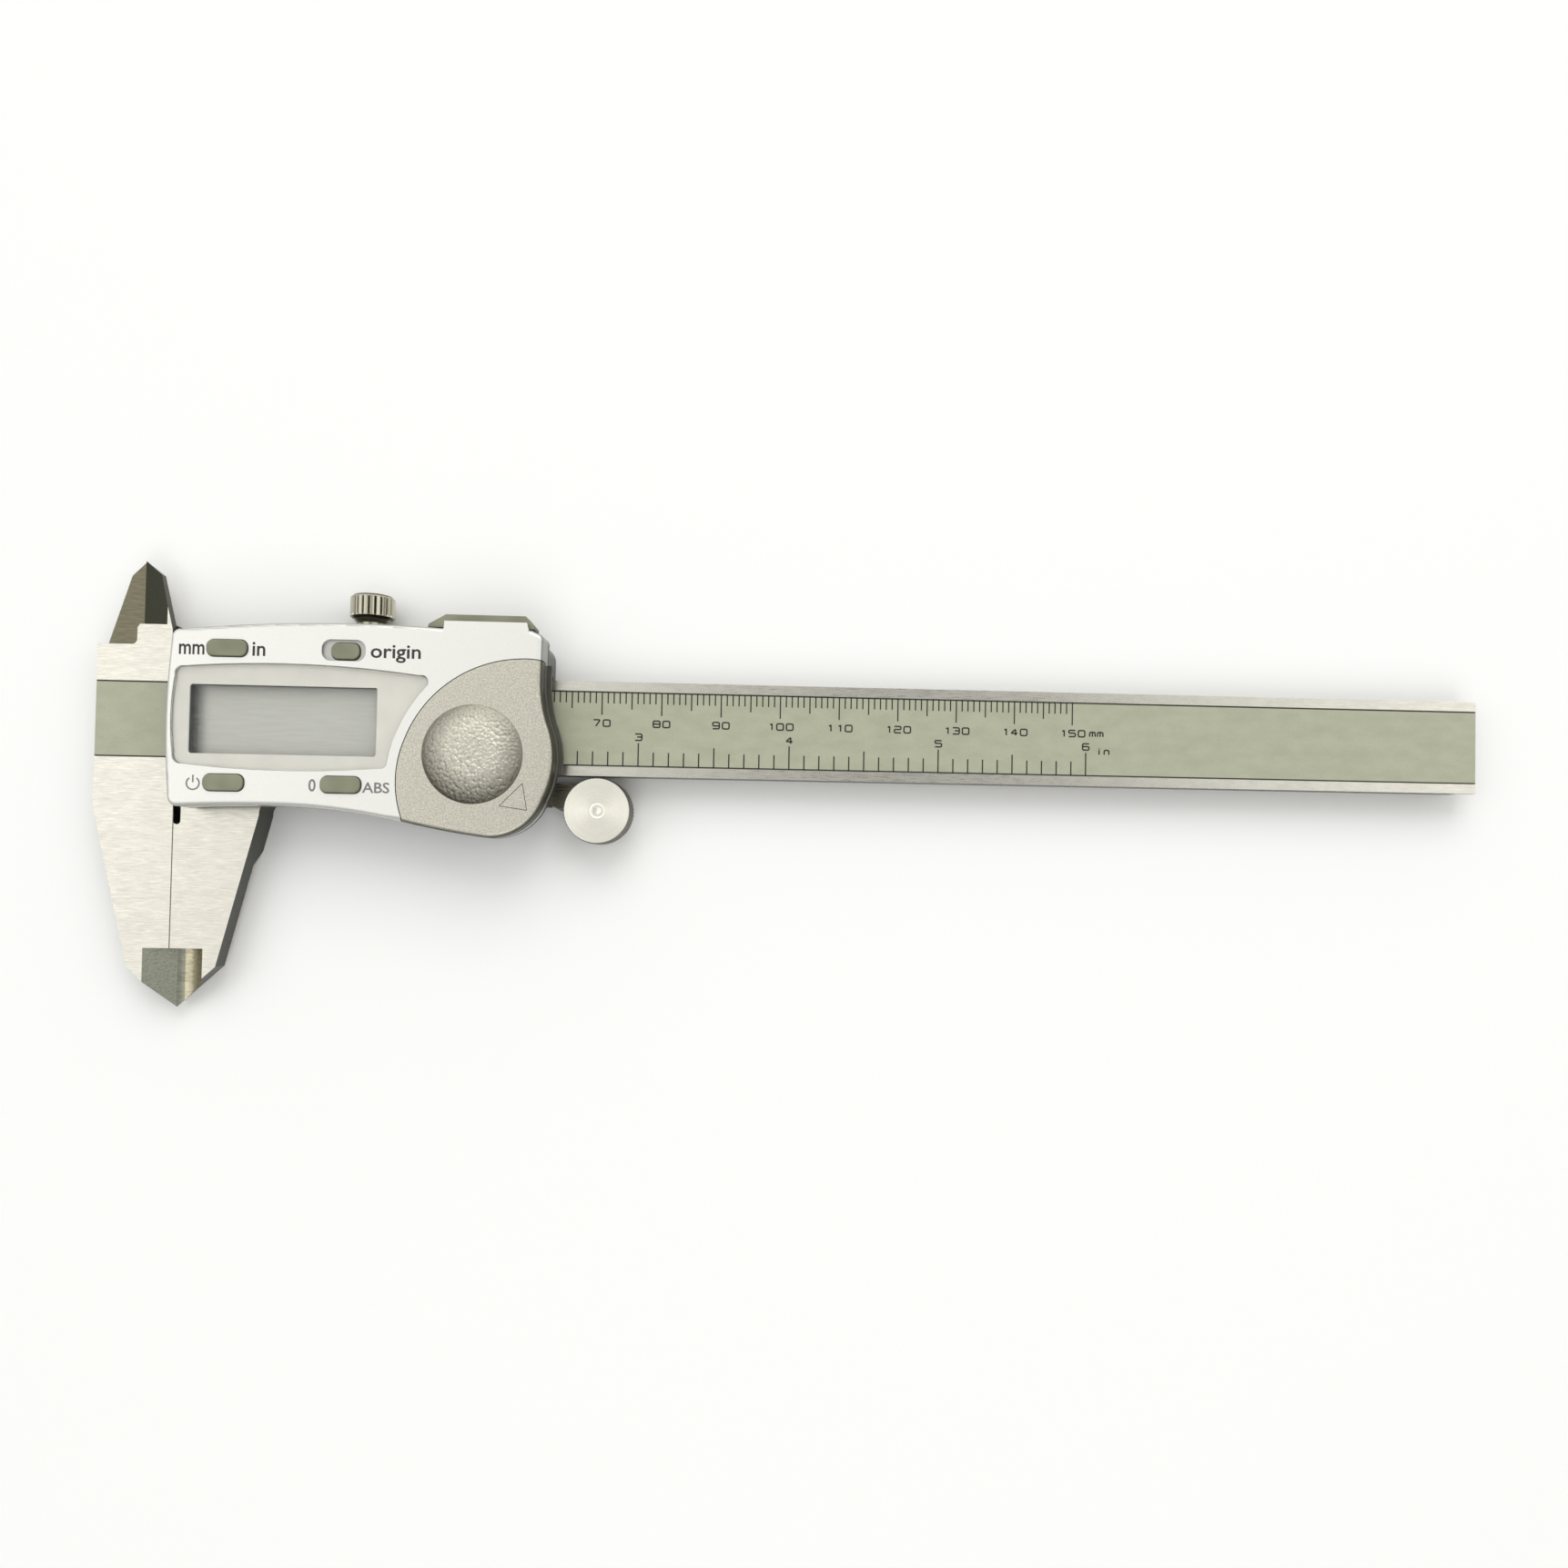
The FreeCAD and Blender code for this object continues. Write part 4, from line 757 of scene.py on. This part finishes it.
def makeWindowBorder():
    # A thin sheet under the window, between its outline and the opening over the glass:
    # both loops are sampled at the same angles and joined into a ring.
    look = borderPrint
    low = np.array(look["viewLow"])
    high = np.array(look["viewHigh"])
    centre = (low + high) / 2
    outer = loopByAngle(nodeOutline("display_window"), centre, look["steps"])
    outer = centre + (outer - centre) * look["shrink"]
    direction = outer - centre
    half = (high - low) / 2
    reach = np.min(half / np.maximum(np.abs(direction), 1e-6), axis=1)
    inner = centre + direction * reach[:, None]
    top = nodeBox("display_window")[0][2] - look["gap"]
    bottom = top - look["thickness"]
    rings = [np.column_stack([loop, np.full(len(loop), z)])
             for loop, z in ((outer, bottom), (outer, top), (inner, top), (inner, bottom))]
    points = np.stack(rings, axis=1).reshape(-1, 3)
    faces = gridFaces(look["steps"], 4, wrapRows=True, wrapColumns=True)
    makePiece("window_border", points, faces, "slider", borderPaint, smooth=False)


makeWindowBorder()
print("window border printed")


def pebbles(x, y, cell, seed):
    # Round bumps, one in each cell of a jittered grid: the height is one at a cell's own
    # point and falls with the squared distance to the nearest point.
    side, steepness = 64, 1.6
    table = np.random.default_rng(seed).random((side, side, 2))
    u, v = x / cell, y / cell
    column, row = np.floor(u).astype(int), np.floor(v).astype(int)
    nearest = np.full(x.shape, 9.0)
    for stepX in (-1, 0, 1):
        for stepY in (-1, 0, 1):
            jitter = table[(column + stepX) % side, (row + stepY) % side]
            apartX = column + stepX + jitter[..., 0] - u
            apartY = row + stepY + jitter[..., 1] - v
            nearest = np.minimum(nearest, apartX ** 2 + apartY ** 2)
    return np.clip(1.0 - steepness * nearest, 0.0, 1.0)


def makeThumbPad():
    # A cap on a polar grid: its height falls with a power of the distance from the middle.
    # Pebbles stand on it and fade out towards the rim.
    look = thumbPad
    radius = np.linspace(0.0, look["radius"], look["rings"])
    angle = np.linspace(0.0, 2 * np.pi, look["sectors"], endpoint=False)
    r, a = np.meshgrid(radius, angle, indexing="ij")
    x = padX + r * np.cos(a)
    y = padY + r * np.sin(a)
    dome = look["rise"] * (1.0 - (r / look["radius"]) ** look["fullness"])
    edge = np.clip((look["radius"] - r) / look["pebbleFade"], 0.0, 1.0)
    small, large = look["pebbleHeight"]
    lowness = np.clip(0.5 - 0.5 * (y - padY) / look["radius"], 0.0, 1.0) ** look["pebbleBias"]
    bumps = pebbles(x, y, look["pebbleMm"], look["seed"]) * (small + (large - small) * lowness) * edge
    z = caseFront + look["lift"] + dome + bumps
    top = np.stack([x, y, z], axis=-1).reshape(-1, 3)
    rim = np.stack([x[-1], y[-1], np.full(look["sectors"], caseFront - look["skirt"])], axis=-1)
    points = np.vstack([top, rim])
    faces = gridFaces(look["rings"] + 1, look["sectors"], wrapColumns=True).tolist()
    base = look["rings"] * look["sectors"]
    faces.append(list(range(base, base + look["sectors"])))
    makePiece("thumb_pad", points, faces, "battery_cover", padPaint, sharpAngle=80.0)


makeThumbPad()
print("thumb pad made")


roller = {
    "teeth": 56, "toothDepth": 0.26, "toothFade": 0.05, "slant": 0.9,
    "chamfer": 0.22, "boreRadius": 1.55, "boreDepth": 2.8,
    "markRadius": 0.6, "markDepth": 0.08,
    "grooveRadius": 1.15, "grooveHalf": 0.1, "grooveDepth": 0.03,
    "under": 0.02,      # the rim stays this far inside the plain roller
    "spacing": 0.14, "steps": 448,
}


def makeRoller():
    # A turned disc whose rim carries a diamond knurl: two waves slant opposite ways round
    # it, and the radius is cut where the lower of the two is low.
    look = roller
    radius, under = rollerRadius, look["under"]
    low, high = rollerLow[2], rollerHigh[2]
    bevel, bore, boreTop = look["chamfer"], look["boreRadius"], low + look["boreDepth"]
    mark, markDepth = look["markRadius"], look["markDepth"]
    groove, half = look["grooveRadius"], look["grooveHalf"]
    corners = [
        (0.0, high - markDepth), (mark * 0.4, high - markDepth * 0.6), (mark, high),
        (groove - half, high), (groove, high - look["grooveDepth"]), (groove + half, high),
        (radius - bevel - under, high),
        (radius - under, high - bevel), (radius - under, low + bevel), (radius - bevel, low),
        (bore, low), (bore, boreTop), (0.0, boreTop),
    ]
    profile = profilePath(corners, look["spacing"])
    middle = (low + high) / 2

    def knurl(angle, height, distance):
        slant = (height - middle) * look["slant"] / radius * look["teeth"] / 4
        first = np.abs(np.sin(angle * look["teeth"] / 2 + slant))
        second = np.abs(np.sin(angle * look["teeth"] / 2 - slant))
        onRim = np.clip((distance - (radius - bevel * 0.9)) / look["toothFade"], 0.0, 1.0)
        return -look["toothDepth"] * (1.0 - np.minimum(first, second) ** 2) * onRim

    points, faces = turned(profile, look["steps"], knurl)
    points = points + (rollerCentre[0], rollerCentre[1], 0.0)
    piece = makePiece("thumb_roller_knurled", points, faces, "thumb_roller", rollerSteel, sharpAngle=28.0)
    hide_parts("thumb_roller")


makeRoller()
print("thumb roller made")


knob = {
    "flutes": 22, "fluteDepth": 0.3, "fluteFade": 0.2, "rimFade": 0.1,
    "fluteStart": 0.1,      # above the taper
    "chamfer": 0.45, "dishDepth": 0.15,
    "taper": 0.9, "shoulder": (0.25, 0.12), "footInset": 1.1,
    "boreRadius": 1.5, "boreDepth": 1.5,
    "under": 0.01,      # the rim stays this far inside the plain knob
    "spacing": 0.2, "steps": 352,
}


def makeKnob():
    # A drum with straight flutes along its axis, turned about Y. Each flute is the top of a
    # cosine wave round the rim, and it fades out towards the chamfer and the taper.
    look = knob
    radius, under, chamfer = knobRadius, look["under"], look["chamfer"]
    low, high = knobLow[1] - beamY, knobHigh[1] - beamY
    dish, waist = high - look["dishDepth"], low + look["taper"]
    inset, rise = look["shoulder"]
    bore, boreTop = look["boreRadius"], low + look["boreDepth"]
    corners = [
        (0.0, dish), (radius * 0.45, dish), (radius * 0.5, high), (radius - chamfer, high),
        (radius - under, high - chamfer), (radius - under, waist + rise),
        (radius - inset, waist), (radius - look["footInset"], low),
        (bore, low), (bore, boreTop), (0.0, boreTop),
    ]
    profile = profilePath(corners, look["spacing"])
    top, bottom = high - chamfer * 0.8, waist + look["fluteStart"]

    def flutes(angle, height, distance):
        wave = np.clip(np.cos(angle * look["flutes"]) * 1.5 - 0.5, 0.0, 1.0)
        reach = np.minimum(top - height, height - bottom) / look["fluteFade"]
        onRim = np.clip((distance - (radius - chamfer)) / look["rimFade"], 0.0, 1.0)
        return -look["fluteDepth"] * wave * np.clip(reach, 0.0, 1.0) * onRim

    points, faces = turned(profile, look["steps"], flutes)
    centre = (knobLow + knobHigh) / 2
    upright = np.stack([points[:, 0], points[:, 2], -points[:, 1]], axis=1)
    upright += (centre[0] - zeroX, 0.0, centre[2])
    piece = makePiece("lock_knob_fluted", upright, faces, "lock_screw", knobSteel, sharpAngle=30.0)
    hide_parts("lock_knob")


makeKnob()
print("lock knob made")


coverMark = {
    "corners": [(58.55, -10.0), (54.9, -13.7), (59.35, -14.35)],
    "stroke": 0.1, "bend": 0.1, "height": 0.015,
}


def makeCoverMark():
    # A small outlined triangle that points the way the cover slides off.
    look = coverMark
    low = caseFront + datum["printGap"]
    line = softCorners(look["corners"], look["bend"], True)
    points, faces = strokeSolid(line, look["stroke"], low, low + look["height"], closed=True)
    makePiece("cover_slide_mark", points, faces, "battery_cover", darkInk, smooth=False)


makeCoverMark()
print("cover mark made")


view = {
    "cameraMm": (104.665, -25.03, 215.996),     # from the zero, and above the beam's face
    "turnDegrees": (1.489, -2.741, 0.952),
    "lens": 29.25, "sensor": 36.0, "shift": (-0.0522, 0.0406),
}


def makeCamera():
    # Above the middle of the beam and a little towards the outside jaws, looking nearly
    # straight down.
    data = bpy.data.cameras.new("camera")
    data.lens = view["lens"]
    data.sensor_width = view["sensor"]
    data.shift_x, data.shift_y = view["shift"]
    data.clip_start = 0.01
    data.clip_end = 20.0
    camera = bpy.data.objects.new("camera", data)
    bpy.context.scene.collection.objects.link(camera)
    x, y, z = view["cameraMm"]
    camera.location = Vector(toWorld((x, y, z + beamFront)))
    camera.rotation_euler = Euler([math.radians(value) for value in view["turnDegrees"]])
    bpy.context.scene.camera = camera


studio = {
    "floorHex": "FAFAF8", "floorSize": 6.0,
    "skyTowards": (0.0, 0.55, 0.83), "skyFrom": 0.28, "skyTo": 0.86, "skyDark": 0.24, "skyBright": 1.06,
    "skyColour": (1.0, 1.0, 0.99, 1.0),
    "flagX": (-0.15, -0.06, 0.20, 0.28), "flagY": (0.45, 0.70), "flagDepth": 0.9,   # dark, overhead
    "lights": [
        # name, place in metres, size in metres, power in watts
        ("topSoftbox", (0.05, 0.80, 0.85), 0.8, 4.2),
        ("frontSoftbox", (0.05, -0.65, 0.95), 0.8, 3.2),
        ("leftSoftbox", (-0.8, 0.0, 0.75), 0.7, 1.0),
        ("rightSoftbox", (0.9, 0.15, 0.8), 0.7, 1.0),
    ],
}


def makeFloor():
    size = studio["floorSize"] / 2
    mesh = bpy.data.meshes.new("floor")
    level = cadBox[0][2]
    corners = [(-size, -size, level), (size, -size, level), (size, size, level), (-size, size, level)]
    mesh.from_pydata(corners, [], [(0, 1, 2, 3)])
    floor = bpy.data.objects.new("floor", mesh)
    bpy.context.scene.collection.objects.link(floor)
    material = startMaterial("palePaper", {"Roughness": 0.9, "Base Color": studio["floorHex"]})[0]
    mesh.materials.append(material)


def makeLights():
    for name, spot, width, power in studio["lights"]:
        data = bpy.data.lights.new(name, "AREA")
        data.size = width
        data.energy = power
        light = bpy.data.objects.new(name, data)
        bpy.context.scene.collection.objects.link(light)
        light.location = spot
        light.rotation_euler = (-Vector(spot)).to_track_quat("-Z", "Y").to_euler()


def makeSky():
    # Brightest above the inside jaws' side (+Y), with a dark flag overhead. The strength is
    # the sky's own times one less the flag's depth, which falls off at the flag's edges.
    world = bpy.data.worlds.new("studio")
    bpy.context.scene.world = world
    world.use_nodes = True
    tree = world.node_tree
    tree.nodes.clear()
    direction = addNode(tree, "ShaderNodeTexCoord").outputs["Generated"]
    towards = addNode(tree, "ShaderNodeVectorMath", {
        "operation": "DOT_PRODUCT", 0: direction, 1: studio["skyTowards"]}).outputs["Value"]
    parts = addNode(tree, "ShaderNodeSeparateXYZ", {0: direction}).outputs
    sideways = addNode(tree, "ShaderNodeMath", {"operation": "ABSOLUTE", 0: parts[1]}).outputs[0]
    left, leftFull, rightFull, right = studio["flagX"]
    inner, outer = studio["flagY"]
    spans = [(towards, studio["skyFrom"], studio["skyTo"], studio["skyDark"], studio["skyBright"]),
             (sideways, inner, outer, studio["flagDepth"], 0.0),
             (parts[0], left, leftFull, 0.0, 1.0), (parts[0], rightFull, right, 1.0, 0.0)]
    sky, depth, leftEdge, rightEdge = [
        addNode(tree, "ShaderNodeMapRange", {
            "Value": source, "From Min": low, "From Max": high,
            "To Min": lowOut, "To Max": highOut}).outputs[0]
        for source, low, high, lowOut, highOut in spans]
    edges = addNode(tree, "ShaderNodeMath", {"operation": "MULTIPLY", 0: leftEdge, 1: rightEdge}).outputs[0]
    flag = addNode(tree, "ShaderNodeMath", {"operation": "MULTIPLY", 0: depth, 1: edges}).outputs[0]
    clear = addNode(tree, "ShaderNodeMath", {"operation": "SUBTRACT", 0: 1.0, 1: flag}).outputs[0]
    level = addNode(tree, "ShaderNodeMath", {"operation": "MULTIPLY", 0: sky, 1: clear}).outputs[0]
    background = addNode(tree, "ShaderNodeBackground", {"Color": studio["skyColour"], "Strength": level})
    addNode(tree, "ShaderNodeOutputWorld", {0: background.outputs[0]})
    bpy.context.scene.view_settings.view_transform = "Standard"


makeCamera()
makeFloor()
makeLights()
makeSky()
print("camera and studio ready")
